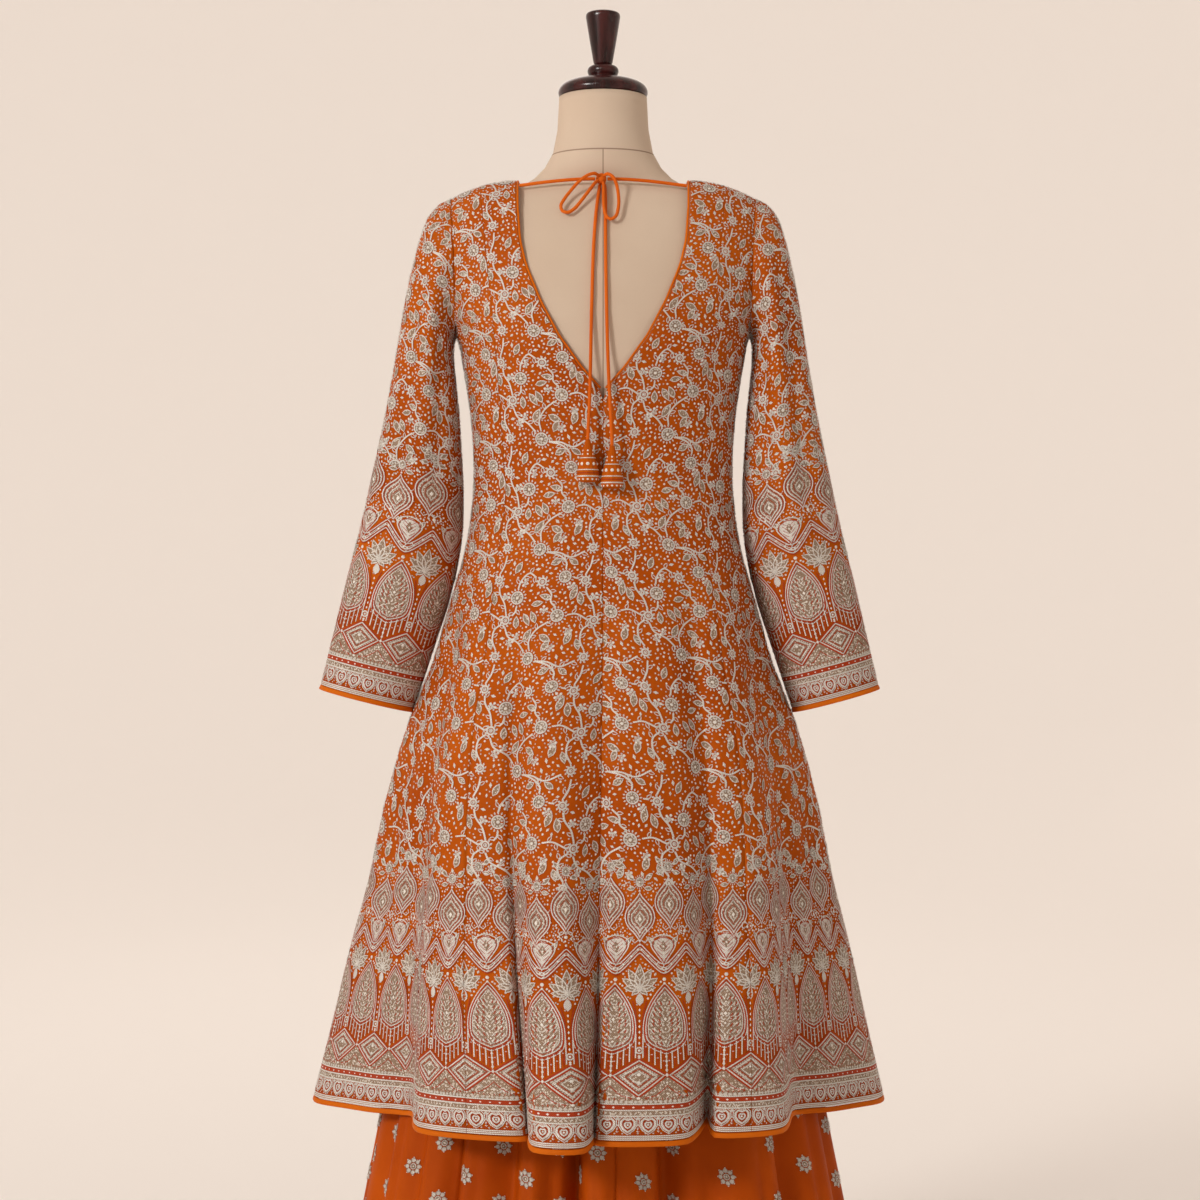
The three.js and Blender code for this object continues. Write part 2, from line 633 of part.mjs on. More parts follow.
// Turns a closed body's faces outwards
function outwardFaces(geometry) {
  const place = geometry.getAttribute('position');
  const index = geometry.index.array;
  let volume = 0;
  const a = new THREE.Vector3();
  const b = new THREE.Vector3();
  const c = new THREE.Vector3();
  for (let i = 0; i < index.length; i += 3) {
    a.fromBufferAttribute(place, index[i]);
    b.fromBufferAttribute(place, index[i + 1]);
    c.fromBufferAttribute(place, index[i + 2]);
    volume += a.dot(b.cross(c));
  }
  if (volume < 0) {
    for (let i = 0; i < index.length; i += 3) {
      const swap = index[i + 1];
      index[i + 1] = index[i + 2];
      index[i + 2] = swap;
    }
  }
  return geometry;
}

// Rolled binding along the neck edge of each half of the back and the front
function buildNeckBinding(kurta) {
  const edges = [
    { name: 'neck_binding_back_left', panel: 0, column: 0, inner: 1, low: backNeckHeight },
    { name: 'neck_binding_front_left', panel: 3, column: -1, inner: -2, low: frontNeckHeight },
    { name: 'neck_binding_front_right', panel: 4, column: 0, inner: 1, low: frontNeckHeight },
    { name: 'neck_binding_back_right', panel: 7, column: -1, inner: -2, low: backNeckHeight },
  ];
  for (const edge of edges) {
    const rows = kurta.panels[edge.panel].rows;
    const normals = kurta.normals[edge.panel];
    const line = [];
    rows.forEach((row, r) => {
      const p = row.at(edge.column);
      if (p.z > edge.low - 1) line.push({ p, inside: row.at(edge.inner), n: normals[r].at(edge.column) });
    });
    const behind = line[0].p.y > 0 ? 1 : -1;
    const start = line[0].p.clone().lerp(line[1].p, neckBindingStart);
    const points = line.map((spot, i) => {
      const before = line[Math.max(0, i - 1)].p;
      const after = line[Math.min(line.length - 1, i + 1)].p;
      const along = after.clone().sub(before).normalize();
      const out = spot.n.clone().cross(along).normalize();
      if (out.dot(spot.inside.clone().sub(spot.p)) > 0) out.negate();
      const p = i === 0 ? start : spot.p.clone();
      p.addScaledVector(out, neckBindingRadius + neckBindingGap).addScaledVector(spot.n, -clothWall / 2);
      if (i === line.length - 1) p.y = (behind * seamGap) / 2;
      return p;
    });
    addMesh(edge.name, edgeTube(points, neckBindingRadius, neckBindingSides), plainOrange);
  }
}

// Sleeves: rings from the armhole down to the cuff
function sleeveRings() {
  const rings = [];
  const armhole = [];
  for (let c = 0; c < sleeveColumns; c += 1) {
    const turn = (2 * Math.PI * c) / sleeveColumns;
    const climb = (1 - Math.cos(turn)) / 2;
    const z = mix(underarmHeight, shoulderTipHeight, climb);
    const x = lookUp(armholeLine, 'x', z);
    const p = bodyPoint(angleAt(x, z), z, Math.sin(turn) > 0);
    if (c === 0) p.y = 0;
    p.x = x + armholeGap;
    armhole.push(p);
  }
  rings.push(armhole);
  sleeveSections.forEach((section, k) => {
    const ring = [];
    const lean = (sleeveLean * k) / (sleeveSections.length - 1);
    for (let c = 0; c < sleeveColumns; c += 1) {
      const turn = (2 * Math.PI * c) / sleeveColumns;
      const across = (1 - Math.cos(turn)) / 2;
      const z = mix(section.inZ, section.outZ, across);
      let dent = 0;
      for (const trough of sleeveTroughs) {
        const off = (c * 360) / sleeveColumns - trough.at;
        const middle = (section.inZ + section.outZ) / 2;
        const rise = (trough.top - middle) / troughRise;
        const fall = (middle - trough.low) / troughFall;
        const along = Math.max(0, Math.min(1, rise, fall));
        dent += trough.deep * along * Math.exp(-((off / trough.wide) ** 2));
      }
      const halfWidth = (section.outX - section.inX) / 2;
      ring.push(new THREE.Vector3(
        mix(section.inX, section.outX, across) + (dent * Math.cos(turn) * halfWidth) / section.depth,
        (section.depth - dent) * Math.sin(turn),
        z,
      ));
    }
    rings.push({ ring, lean });
  });
  return rings.map((entry) => (entry.ring ? entry : { ring: entry, lean: 0 })).reverse();
}

function buildSleeves() {
  for (const side of [{ name: 'left', way: 1, lean: 1 }, { name: 'right', way: -1, lean: -1 }]) {
    const rows = sleeveRings().map((entry) => entry.ring.map((p, c) => {
      const share = (1 - Math.cos((2 * Math.PI * c) / sleeveColumns)) / 2;
      return new THREE.Vector3(p.x + side.lean * entry.lean * share, p.y, p.z);
    }));
    const normals = smoothNormals([rows], true)[0];
    const armhole = rows.length - 1;
    normals[armhole] = normals[armhole].map((n) => n.clone().setX(0).normalize());
    const flipped = (p) => new THREE.Vector3(side.way * p.x, p.y, p.z);
    const flip = (grid) => grid.map((row) => row.map(flipped));
    const cloth = wallGeometry(flip(rows), flip(normals), clothWall, true);
    addMesh(`sleeve_${side.name}`, cloth, embroideredOrange);

    const centre = (row) => row.reduce((sum, p) => sum.add(p), new THREE.Vector3()).divideScalar(row.length);
    const along = centre(rows[0]).sub(centre(rows[1])).normalize();
    const move = (out, down) => rows[0].map((p, c) => (
      p.clone().addScaledVector(normals[0][c], out).addScaledVector(along, down)));
    const out = (bindingWall - clothWall) / 2;
    const cuff = [move(out + bindingFlare / 2, edgeGap + bindingHeight), move(out, edgeGap)];
    const cuffNormals = [normals[0], normals[0]];
    const binding = wallGeometry(flip(cuff), flip(cuffNormals), bindingWall, true);
    addMesh(`cuff_binding_${side.name}`, binding, plainOrange);
  }
}

// Skirt: gathered on its waistband, with valleys that deepen towards the hem
function skirtPoint(degrees, z) {
  const angle = THREE.MathUtils.degToRad(degrees);
  const power = 2 / lookUp(skirtSections, 'power', z);
  const p = new THREE.Vector3(
    lookUp(skirtSections, 'half', z) * Math.sign(Math.sin(angle)) * Math.abs(Math.sin(angle)) ** power,
    lookUp(skirtSections, 'depth', z) * Math.sign(Math.cos(angle)) * Math.abs(Math.cos(angle)) ** power,
    z,
  );
  let dent = 0;
  for (const gather of skirtGathers) {
    const off = ((degrees - gather.at + 540) % 360) - 180;
    dent += gather.deep * Math.exp(-((off / gather.wide) ** 2));
  }
  const reach = Math.hypot(p.x, p.y);
  const share = 1 - (dent * lookUp(skirtSections, 'gather', z)) / reach;
  p.x *= share;
  p.y *= share;
  return p;
}

function buildSkirt() {
  const angles = [];
  skirtGathers.forEach((gather, k) => {
    const next = skirtGathers[(k + 1) % skirtGathers.length];
    const gap = (next.at - gather.at + 360) % 360;
    const shoulder = gatherShoulder * gather.wide;
    if (gather.deep > shallowGather) angles.push(gather.at - shoulder, gather.at + shoulder);
    angles.push(gather.at, gather.at + gap / 2);
  });
  const grids = skirtWidths.map(({ from, to }) => {
    const turnFrom = (a) => (a - from + 360 + angleReach) % 360;
    const columns = angles
      .filter((a) => turnFrom(a) <= turnFrom(to) + angleReach)
      .sort((a, b) => turnFrom(a) - turnFrom(b));
    return skirtRows.map((z) => columns.map((a) => skirtPoint(a, z)));
  });
  const normals = smoothNormals(grids, false);
  skirtWidths.forEach((width, k) => {
    const cloth = wallGeometry(partedEdges(grids[k], 0), normals[k], clothWall, false);
    addMesh(width.name, cloth, skirtOrange);
  });
}

// Dress form and the waistband that sits on it
function formPoint(column, z, grow) {
  const angle = (2 * Math.PI * column) / formColumns;
  const power = 2 / lookUp(formSections, 'power', z);
  const behind = Math.cos(angle) > 0;
  const depth = lookUp(formSections, behind ? 'back' : 'front', z) + grow;
  const half = lookUp(formSections, 'half', z) + grow;
  return new THREE.Vector3(
    Math.sign(Math.sin(angle)) * half * Math.abs(Math.sin(angle)) ** power,
    Math.sign(Math.cos(angle)) * depth * Math.abs(Math.cos(angle)) ** power,
    z,
  );
}

function formRing(z, grow) {
  return Array.from({ length: formColumns }, (unused, c) => formPoint(c, z, grow));
}

function buildForm() {
  addMesh('dress_form', closedStack(formSections.map((section) => formRing(section.z, 0))), creamCotton);
  const rows = [waistbandLow, waistbandEase, waistbandHigh].map((z) => formRing(z, waistbandWall + seamGap));
  const normals = smoothNormals([rows], true)[0];
  addMesh('skirt_waistband', wallGeometry(rows, normals, waistbandWall, true), skirtOrange);
}

function turned(profile) {
  const points = profile.map((row) => new THREE.Vector2(row.r, row.z));
  return mended(new THREE.LatheGeometry(points, turnedSides).rotateX(Math.PI / 2));
}

// Keeps positions only, welds them and drops faces that have closed up
function mended(geometry) {
  const bare = geometry.clone();
  bare.deleteAttribute('normal');
  bare.deleteAttribute('uv');
  const welded = mergeVertices(bare, 1e-3);
  const index = welded.index.array;
  const kept = [];
  for (let i = 0; i < index.length; i += 3) {
    const [a, b, c] = [index[i], index[i + 1], index[i + 2]];
    if (a !== b && b !== c && c !== a) kept.push(a, b, c);
  }
  welded.setIndex(kept);
  return outwardFaces(welded);
}

function buildStand() {
  addMesh('neck_cap', turned(capProfile), darkWood);
  addMesh('finial', turned(finialProfile), darkWood);
  const pole = [
    { r: 0, z: baseHeight + edgeGap }, { r: poleRadius, z: baseHeight + edgeGap },
    { r: poleRadius, z: formSections[0].z - edgeGap }, { r: 0, z: formSections[0].z - edgeGap },
  ];
  addMesh('pole', turned(pole), darkWood);
  const base = [
    { r: 0, z: 0 }, { r: baseRadius - 4, z: 0 }, { r: baseRadius, z: 4 }, { r: baseRadius, z: 16 },
    { r: baseRadius - 7, z: 23 }, { r: baseRadius - 18, z: baseHeight }, { r: 0, z: baseHeight },
  ];
  addMesh('base', turned(base), darkWood);
}

// Back tie
function cordGeometry(route) {
  const points = route.map((p) => new THREE.Vector3(...p));
  const path = new THREE.CatmullRomCurve3(points, false, 'centripetal');
  const outline = new THREE.Shape();
  for (let s = 0; s < cordSides; s += 1) {
    const a = (2 * Math.PI * s) / cordSides;
    const at = [(cordDiameter / 2) * Math.cos(a), (cordDiameter / 2) * Math.sin(a)];
    if (s === 0) outline.moveTo(...at);
    else outline.lineTo(...at);
  }
  outline.closePath();
  const steps = Math.max(6, Math.round(path.getLength() / cordStep));
  const along = { steps, bevelEnabled: false, extrudePath: path };
  return mended(new THREE.ExtrudeGeometry(outline, along));
}

function buildTie() {
  addMesh('tie_left', cordGeometry(tieLeftRoute), plainOrange);
  addMesh('tie_right', cordGeometry(tieRightRoute), plainOrange);
  addMesh('bow_loop_left', cordGeometry(loopLeftRoute), plainOrange);
  addMesh('bow_loop_right', cordGeometry(loopRightRoute), plainOrange);
  addMesh('tail_left', cordGeometry(tailLeftRoute), plainOrange);
  addMesh('tail_right', cordGeometry(tailRightRoute), plainOrange);
  const ball = mended(new THREE.SphereGeometry(knot.radius, 12, 8));
  addMesh('tie_knot', ball.translate(knot.x, knot.y, knot.z), plainOrange);
  for (const side of [{ name: 'left', route: tailLeftRoute }, { name: 'right', route: tailRightRoute }]) {
    const [x, y, z] = side.route[side.route.length - 1];
    const points = coneProfile.map((row) => new THREE.Vector2(row.r, -row.drop));
    const cone = mended(new THREE.LatheGeometry(points, coneSides).rotateX(Math.PI / 2));
    addMesh(`tie_cone_${side.name}`, cone.translate(x, y, z - edgeGap), embroideredOrange);
  }
}

const kurta = buildKurta();
buildHemBinding(kurta);
buildNeckBinding(kurta);
buildSleeves();
buildSkirt();
buildForm();
buildStand();
buildTie();

export default garment;
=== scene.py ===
# %% [markdown]
# # An embroidered anarkali suit on a dress form, seen from behind
# The real thing is a long flared kurta of orange cloth, closed across its V back by a thin
# tie, over a full gathered skirt, and it stands on a cloth covered form with a turned cap.
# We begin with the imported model, because every Blender piece stands where its solids do.

# %% Load the frame
import bpy
import math
import numpy as np
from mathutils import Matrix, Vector


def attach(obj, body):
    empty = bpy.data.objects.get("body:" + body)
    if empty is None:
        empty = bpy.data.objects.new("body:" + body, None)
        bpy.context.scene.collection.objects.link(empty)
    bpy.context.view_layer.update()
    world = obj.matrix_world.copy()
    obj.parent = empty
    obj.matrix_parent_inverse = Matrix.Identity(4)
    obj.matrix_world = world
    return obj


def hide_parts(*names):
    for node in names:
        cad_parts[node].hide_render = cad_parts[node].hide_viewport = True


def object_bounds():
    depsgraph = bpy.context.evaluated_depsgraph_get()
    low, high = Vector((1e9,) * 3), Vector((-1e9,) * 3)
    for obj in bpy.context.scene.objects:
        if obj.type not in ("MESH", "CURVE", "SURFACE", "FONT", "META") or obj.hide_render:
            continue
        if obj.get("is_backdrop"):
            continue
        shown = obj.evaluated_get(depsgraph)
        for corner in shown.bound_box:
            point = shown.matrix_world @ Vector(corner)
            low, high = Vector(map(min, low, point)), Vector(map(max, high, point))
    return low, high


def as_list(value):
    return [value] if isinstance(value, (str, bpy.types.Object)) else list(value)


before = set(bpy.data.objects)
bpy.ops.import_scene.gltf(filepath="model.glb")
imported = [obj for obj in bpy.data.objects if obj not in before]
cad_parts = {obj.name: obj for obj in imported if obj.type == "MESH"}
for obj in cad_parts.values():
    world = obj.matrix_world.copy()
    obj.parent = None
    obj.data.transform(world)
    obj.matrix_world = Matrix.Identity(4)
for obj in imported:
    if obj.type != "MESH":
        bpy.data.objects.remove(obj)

cad_low, cad_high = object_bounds()
print("solids:", len(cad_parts), "box:", tuple(cad_low), tuple(cad_high))

# %% [markdown]
# Sizes below are in millimetres, as a tailor would note them, and MM turns them into metres.
# Tables give a size at a height. A cubic through the table's rows keeps the cloth smooth,
# where straight lines between rows would leave a kink that the light shows up.

# %% Small helpers for tables and curves
MM = 0.001


def smooth(at, places, values):
    """A curve through the table's rows, with slopes from the rows on each side."""
    places = np.asarray(places, float)
    values = np.asarray(values, float)
    slopes = np.gradient(values, places)
    at = np.clip(np.asarray(at, float), places[0], places[-1])
    k = np.clip(np.searchsorted(places, at) - 1, 0, len(places) - 2)
    gap = places[k + 1] - places[k]
    f = (at - places[k]) / gap
    a, b = values[k], values[k + 1]
    ma, mb = slopes[k] * gap, slopes[k + 1] * gap
    return a + f * ma + f * f * (3 * (b - a) - 2 * ma - mb) + f ** 3 * (2 * (a - b) + ma + mb)


def centripetal(points, closed, steps):
    """Points of a centripetal Catmull-Rom curve, with steps[i] points after point i."""
    p = np.asarray(points, float)
    n = len(p)
    out = []
    for i in range(n if closed else n - 1):
        p1, p2 = p[i], p[(i + 1) % n]
        p0 = p[i - 1] if closed or i > 0 else 2 * p1 - p2
        p3 = p[(i + 2) % n] if closed or i + 2 < n else 2 * p2 - p1
        d0, d1, d2 = (max(1e-4, np.linalg.norm(b - a)) ** 0.5 for a, b in ((p0, p1), (p1, p2), (p2, p3)))
        t1 = ((p1 - p0) / d0 - (p2 - p0) / (d0 + d1) + (p2 - p1) / d1) * d1
        t2 = ((p2 - p1) / d1 - (p3 - p1) / (d1 + d2) + (p3 - p2) / d2) * d1
        for s in range(steps[i]):
            f = s / steps[i]
            square, cube = 3 * (p2 - p1) - 2 * t1 - t2, 2 * (p1 - p2) + t1 + t2
            out.append(p1 + t1 * f + square * f * f + cube * f ** 3)
    if not closed:
        out.append(p[-1])
    return np.array(out)


def heading(degrees):
    return math.cos(math.radians(degrees)), math.sin(math.radians(degrees))


def grid_tris(rows, columns):
    """Two triangles for each cell of a grid of points."""
    index = np.arange(rows * columns).reshape(rows, columns)
    a, b, c, d = (q.ravel() for q in (index[:-1, :-1], index[:-1, 1:], index[1:, 1:], index[1:, :-1]))
    return np.concatenate([np.stack([a, b, c], -1), np.stack([a, c, d], -1)])


def reach_along(line):
    """How far each point of a line is from its start, along the line."""
    return np.concatenate([[0], np.cumsum(np.linalg.norm(np.diff(line, axis=0), axis=1))])


def ringed_index(rows, columns):
    """Point numbers of a grid whose last column meets its first again."""
    index = np.arange(rows * columns).reshape(rows, columns)
    return np.column_stack([index, index[:, 0]])


def unit(v):
    return v / np.maximum(np.linalg.norm(v, axis=-1, keepdims=True), 1e-9)


# %% [markdown]
# The photograph looks at the middle of the back from eye level. Its vertical lines don't
# lean, so the camera is level. Widths on the form fix the distance: 2.7 m, at 0.91 m high.

# %% Camera
def add_object(name, data):
    made = bpy.data.objects.new(name, data)
    bpy.context.collection.objects.link(made)
    return made


camera_data = bpy.data.cameras.new("camera")
camera_data.lens = 71.7
camera_data.sensor_width = 36.0
camera = add_object("camera", camera_data)
camera.location = (0.0034, 2.7, 0.91)
camera.rotation_euler = (math.radians(90), 0, math.radians(180))
bpy.context.scene.camera = camera
bpy.context.scene.view_settings.view_transform = "Standard"
print("camera at", tuple(camera.location))

# %% [markdown]
# A material here is a small tree of nodes. Cloth is never one flat colour: threads cross and
# the dye varies a little. All of this helper's numbers that are the same all over the cloth
# go straight on the shader's own sockets.

# %% Colours and the weave
def shade(r, g, b):
    """A colour as a screen shows it, 0 to 255, in the linear values that a shader wants."""
    linear = [c / 255 / 12.92 if c <= 10 else ((c / 255 + 0.055) / 1.055) ** 2.4 for c in (r, g, b)]
    return (*linear, 1.0)


def feed(made, inputs):
    """Gives each input of a node its value, or a link where it gets another node's output."""
    for key, value in inputs.items():
        if isinstance(value, bpy.types.NodeSocket):
            made.id_data.links.new(value, made.inputs[key])
        else:
            made.inputs[key].default_value = value


def node(tree, kind, inputs=None, **settings):
    made = tree.nodes.new(kind)
    for key, value in settings.items():
        setattr(made, key, value)
    feed(made, inputs or {})
    return made


def new_material(name, inputs):
    """A material, with these values on its shader."""
    material = bpy.data.materials.new(name)
    material.use_nodes = True
    tree = material.node_tree
    shader = tree.nodes["Principled BSDF"]
    feed(shader, inputs)
    return material, tree, shader


def mixed(tree, factor, first, second, **settings):
    """Two colours mixed, from all first at factor 0 to all second at factor 1."""
    return node(tree, "ShaderNodeMix", {0: factor, 6: first, 7: second}, data_type="RGBA",
        **settings).outputs[2]


def object_place(tree):
    return node(tree, "ShaderNodeTexCoord").outputs["Object"]


def bumped(tree, shader, height, strength, distance=0.0004):
    bump = node(tree, "ShaderNodeBump", {"Strength": strength, "Distance": distance, "Height": height})
    feed(shader, {"Normal": bump.outputs["Normal"]})


WAVE_OF_ONE = 0.314  # a wave texture of this scale has one band in each metre


def thread_bands(tree, source, way, thread, distortion, detail):
    """Bands as wide as a thread, which is given in metres."""
    return node(tree, "ShaderNodeTexWave", {
        "Scale": WAVE_OF_ONE / thread, "Distortion": distortion, "Detail": detail, "Vector": source},
        wave_type="BANDS", bands_direction=way, wave_profile="SIN").outputs["Fac"]


def cloth_material(name, deep, light, roughness, thread, patch=9.0, weave=0.25, uv="flat"):
    """Plain woven cloth: two dye shades in soft patches, and threads that cross."""
    material, tree, shader = new_material(name, {"Roughness": roughness, "Specular IOR Level": 0.06})
    place = object_place(tree)
    cloud = node(tree, "ShaderNodeTexNoise", {"Scale": patch, "Detail": 4, "Vector": place})
    ramp = node(tree, "ShaderNodeMapRange", {"From Min": 0.3, "From Max": 0.7, "Value": cloud.outputs["Fac"]})
    dye = mixed(tree, ramp.outputs["Result"], deep, light)
    source = node(tree, "ShaderNodeUVMap", uv_map=uv).outputs["UV"] if uv else place
    bands = [thread_bands(tree, source, way, thread, 0.6, 1) for way in ("X", "Y" if uv else "Z")]
    crossing = node(tree, "ShaderNodeMath", {0: bands[0], 1: bands[1]}, operation="MAXIMUM").outputs[0]
    bumped(tree, shader, crossing, weave)
    feed(shader, {"Base Color": mixed(tree, 0.18, dye, crossing, blend_type="MULTIPLY")})
    return material


ground_cloth = cloth_material("orange ground cloth", shade(176, 74, 5), shade(200, 94, 10), 0.66, 0.0009)
trim_cloth = cloth_material("plain orange satin", shade(206, 96, 10), shade(224, 114, 20), 0.52, 0.0007)
skirt_cloth = cloth_material("skirt satin", shade(172, 66, 4), shade(200, 86, 8), 0.5, 0.0007)
cord_cloth = cloth_material("tie cord cloth", shade(214, 94, 20), shade(234, 114, 34), 0.55, 0.0006, uv=None)

# %% [markdown]
# The tie is a tube of the kurta's cloth, 3.8 mm thick. One length runs from each shoulder
# to the knot, makes a loop of the bow and hangs as a tail that ends in a small fabric cone.
# A curve with a round bevel keeps its thickness on every bend, so each stretch is a curve,
# along the same points as its solid.

# %% Tie cords
CORD = 3.8
KNOT = (2, 49.2, 1377)
KNOT_RADIUS = 6.6
TIE_ROUTES = {
    "tie_left": [
        (92.9, 45, 1370.5), (84, 46, 1371.4), (70, 46.8, 1373.2), (50, 47.6, 1375.3), (30, 48.4, 1376.7),
        (16, 48.9, 1377.1), (8.85, 49, 1377)],
    "tie_right": [
        (-92.9, 45, 1370.2), (-84, 46, 1371), (-70, 46.8, 1372.8), (-50, 47.6, 1375), (-28, 48.4, 1376.6),
        (-12, 48.9, 1377), (-4.85, 49, 1377)],
    "bow_loop_left": [
        (5.1, 54.7, 1379.8), (9, 59, 1381.5), (17, 61.5, 1379), (27, 62.5, 1371.5), (36, 64.5, 1361),
        (43, 69, 1351), (46.5, 73.5, 1343), (44.5, 76.3, 1337), (38.5, 76.8, 1335.5), (31.5, 74.5, 1340),
        (24, 70, 1349.5), (16.5, 65.5, 1360), (10.5, 59.5, 1369), (6.3, 53.9, 1374.3)],
    "bow_loop_right": [
        (-1.1, 54.7, 1379.8), (-5, 59, 1381), (-10.5, 62.5, 1377.5), (-14.8, 66, 1368), (-17, 71, 1354),
        (-16.8, 76.5, 1341), (-13.8, 81.5, 1330.5), (-8, 83.4, 1327), (-3, 81.6, 1331.5), (-1, 77, 1342),
        (-0.6, 70.5, 1354), (-0.6, 62, 1364.5), (-0.4, 53.5, 1372.2)],
    "tail_left": [
        (3.8, 49.2, 1369.9), (4, 50, 1368.3), (4.3, 53.2, 1365.3), (4.8, 57, 1361.2), (5.4, 61, 1356),
        (6.4, 66.6, 1348), (7.7, 74, 1336), (9, 81, 1320), (10.2, 88.6, 1300), (11.2, 96, 1275),
        (12, 101, 1245), (12.9, 104, 1210), (13.4, 105.8, 1180), (14.2, 107, 1145), (15.2, 107.3, 1115),
        (16.2, 107.3, 1096), (16.6, 107.3, 1084.3)],
    "tail_right": [
        (-1.3, 49.2, 1370.5), (-1.8, 50, 1369), (-2.1, 53.2, 1365.3), (-2.3, 57, 1361.2), (-2.4, 61, 1356),
        (-2.6, 66.6, 1348), (-2.6, 74, 1336), (-2.6, 81, 1320), (-2.7, 88.6, 1300), (-2.9, 96, 1275),
        (-3.4, 101, 1245), (-4.2, 104, 1210), (-5, 105.8, 1180), (-6.4, 107, 1145), (-8, 107.3, 1115),
        (-9.2, 107.3, 1091), (-9.7, 107.3, 1077.3)],
}
CORD_STEP = 3.0


def make_cord(name, route):
    gaps = np.linalg.norm(np.diff(np.array(route), axis=0), axis=1)
    line = centripetal(route, False, [max(1, round(gap / CORD_STEP)) for gap in gaps])
    data = bpy.data.curves.new(name, "CURVE")
    data.dimensions = "3D"
    data.bevel_depth = CORD / 2 * MM
    data.bevel_resolution = 3
    data.use_fill_caps = True
    spline = data.splines.new("POLY")
    spline.points.add(len(line) - 1)
    spline.points.foreach_set("co", np.column_stack([line * MM, np.ones(len(line))]).ravel())
    spline.use_smooth = True
    piece = add_object(name + "_cord", data)
    data.materials.append(cord_cloth)
    length = np.linalg.norm(np.diff(line, axis=0), axis=1).sum() * MM
    print(name, "length", round(length, 4), "m")
    return piece, length


cords = {name: make_cord(name, route) for name, route in TIE_ROUTES.items()}

# %% [markdown]
# Cloth that hangs in set folds is quickest to make from its own sizes. Each piece below is a
# grid of points, a row for each height and a column for each step along the hem. The grid
# becomes a thin shell: the same points moved in by the cloth's thickness, and a rim between.

# %% From a grid of points to a shell of cloth
CLOTH = 1.6


def mesh_object(name, points, faces, flat=None, material=None, face_finish=None):
    """A mesh from arrays: points in millimetres, faces of three or four corners."""
    data = bpy.data.meshes.new(name)
    corners = faces.shape[1]
    data.vertices.add(len(points))
    data.vertices.foreach_set("co", (np.asarray(points, np.float32) * MM).ravel())
    data.loops.add(faces.size)
    data.loops.foreach_set("vertex_index", faces.astype(np.int32).ravel())
    data.polygons.add(len(faces))
    data.polygons.foreach_set("loop_start", np.arange(0, faces.size, corners, dtype=np.int32))
    data.update(calc_edges=True)
    data.polygons.foreach_set("use_smooth", np.ones(len(faces), bool))
    if flat is not None:
        layer = data.uv_layers.new(name="flat")
        layer.data.foreach_set("uv", (flat[faces.ravel()] * MM).astype(np.float32).ravel())
    for one in (material if isinstance(material, list) else [material] if material else []):
        data.materials.append(one)
    if face_finish is not None:
        data.polygons.foreach_set("material_index", face_finish.astype(np.int32))
    data.update()
    return add_object(name, data)


def grid_normals(p, wraps):
    """Outward normals of a grid whose rows climb and whose columns run to +X behind."""
    across = np.roll(p, -1, 1) - np.roll(p, 1, 1)
    if not wraps:
        across[:, 0] = p[:, 1] - p[:, 0]
        across[:, -1] = p[:, -1] - p[:, -2]
    up = np.gradient(p, axis=0)
    return unit(np.cross(up, across))


def shell(name, p, n, wall, wraps, flat, material):
    rows, columns = p.shape[:2]
    points = np.concatenate([p.reshape(-1, 3), (p - n * wall).reshape(-1, 3)])
    both = np.concatenate([flat.reshape(-1, 2)] * 2)
    index = np.arange(rows * columns).reshape(rows, columns)
    if wraps:
        index = np.column_stack([index, index[:, 0]])
    inner = index + rows * columns

    def quads(a, b, c, d):
        return np.stack([a, b, c, d], -1).reshape(-1, 4)

    faces = [
        quads(index[:-1, :-1], index[1:, :-1], index[1:, 1:], index[:-1, 1:]),
        quads(inner[:-1, :-1], inner[:-1, 1:], inner[1:, 1:], inner[1:, :-1]),
        quads(index[0, :-1], index[0, 1:], inner[0, 1:], inner[0, :-1]),
        quads(index[-1, :-1], inner[-1, :-1], inner[-1, 1:], index[-1, 1:]),
    ]
    if not wraps:
        faces.append(quads(index[:-1, 0], inner[:-1, 0], inner[1:, 0], index[1:, 0]))
        faces.append(quads(index[:-1, -1], index[1:, -1], inner[1:, -1], inner[:-1, -1]))
    return mesh_object(name, points, np.concatenate(faces), both, material)


# %% [markdown]
# The kurta is cut in eight long panels that meet at the middle, princess and side seams.
# Its body is a rounded box in plan, the shoulders close over in a soft ridge, and below the
# waist each panel spreads to its share of a wavy hem. The hem table holds a row for each
# fold: its crest, the way it faces, its width and the bottom of the valley before it.

# %% The kurta's sizes
HEM, BINDING, WAIST, UNDERARM, FOLD_START = 348.0, 5.5, 1034.0, 1209.0, 965.0
NECK_X, SHOULDER_X, NECK_TOP, SHOULDER_TOP, YOKE = 97.0, 170.0, 1381.0, 1362.0, 1190.0
POWER = 2.3
HALF_HEM, DEPTH_HEM = 321.0, 243.0
BODY = np.array([  # height, half width, depth behind, depth before
    (348, 321, 243, 243), (430, 301, 229, 229), (514, 282, 214, 214), (599, 260, 198, 198),
    (684, 241, 181, 181), (769, 217, 163, 164), (837, 192, 146, 149), (904, 173, 126, 132),
    (972, 154, 106, 115), (1034, 146, 93, 104), (1108, 148, 95, 118), (1159, 155, 101, 131),
    (1209, 165.5, 105, 130), (1225, 172, 104, 126), (1250, 178, 102, 119), (1290, 184, 98, 108),
    (1381, 190, 92, 94)], float)
PRINCESS = np.array([(1034, 107), (1209, 120), (1381, 138)], float)
ARMHOLE = np.array([(1209, 165.2), (1250, 164.5), (1300, 166), (1362, 170)], float)
BACK_NECK = np.array([(1135, 0), (1163, 25), (1198, 50), (1236, 70), (1276, 86), (1306, 93), (1345, 96),
        (1381, 97)], float)
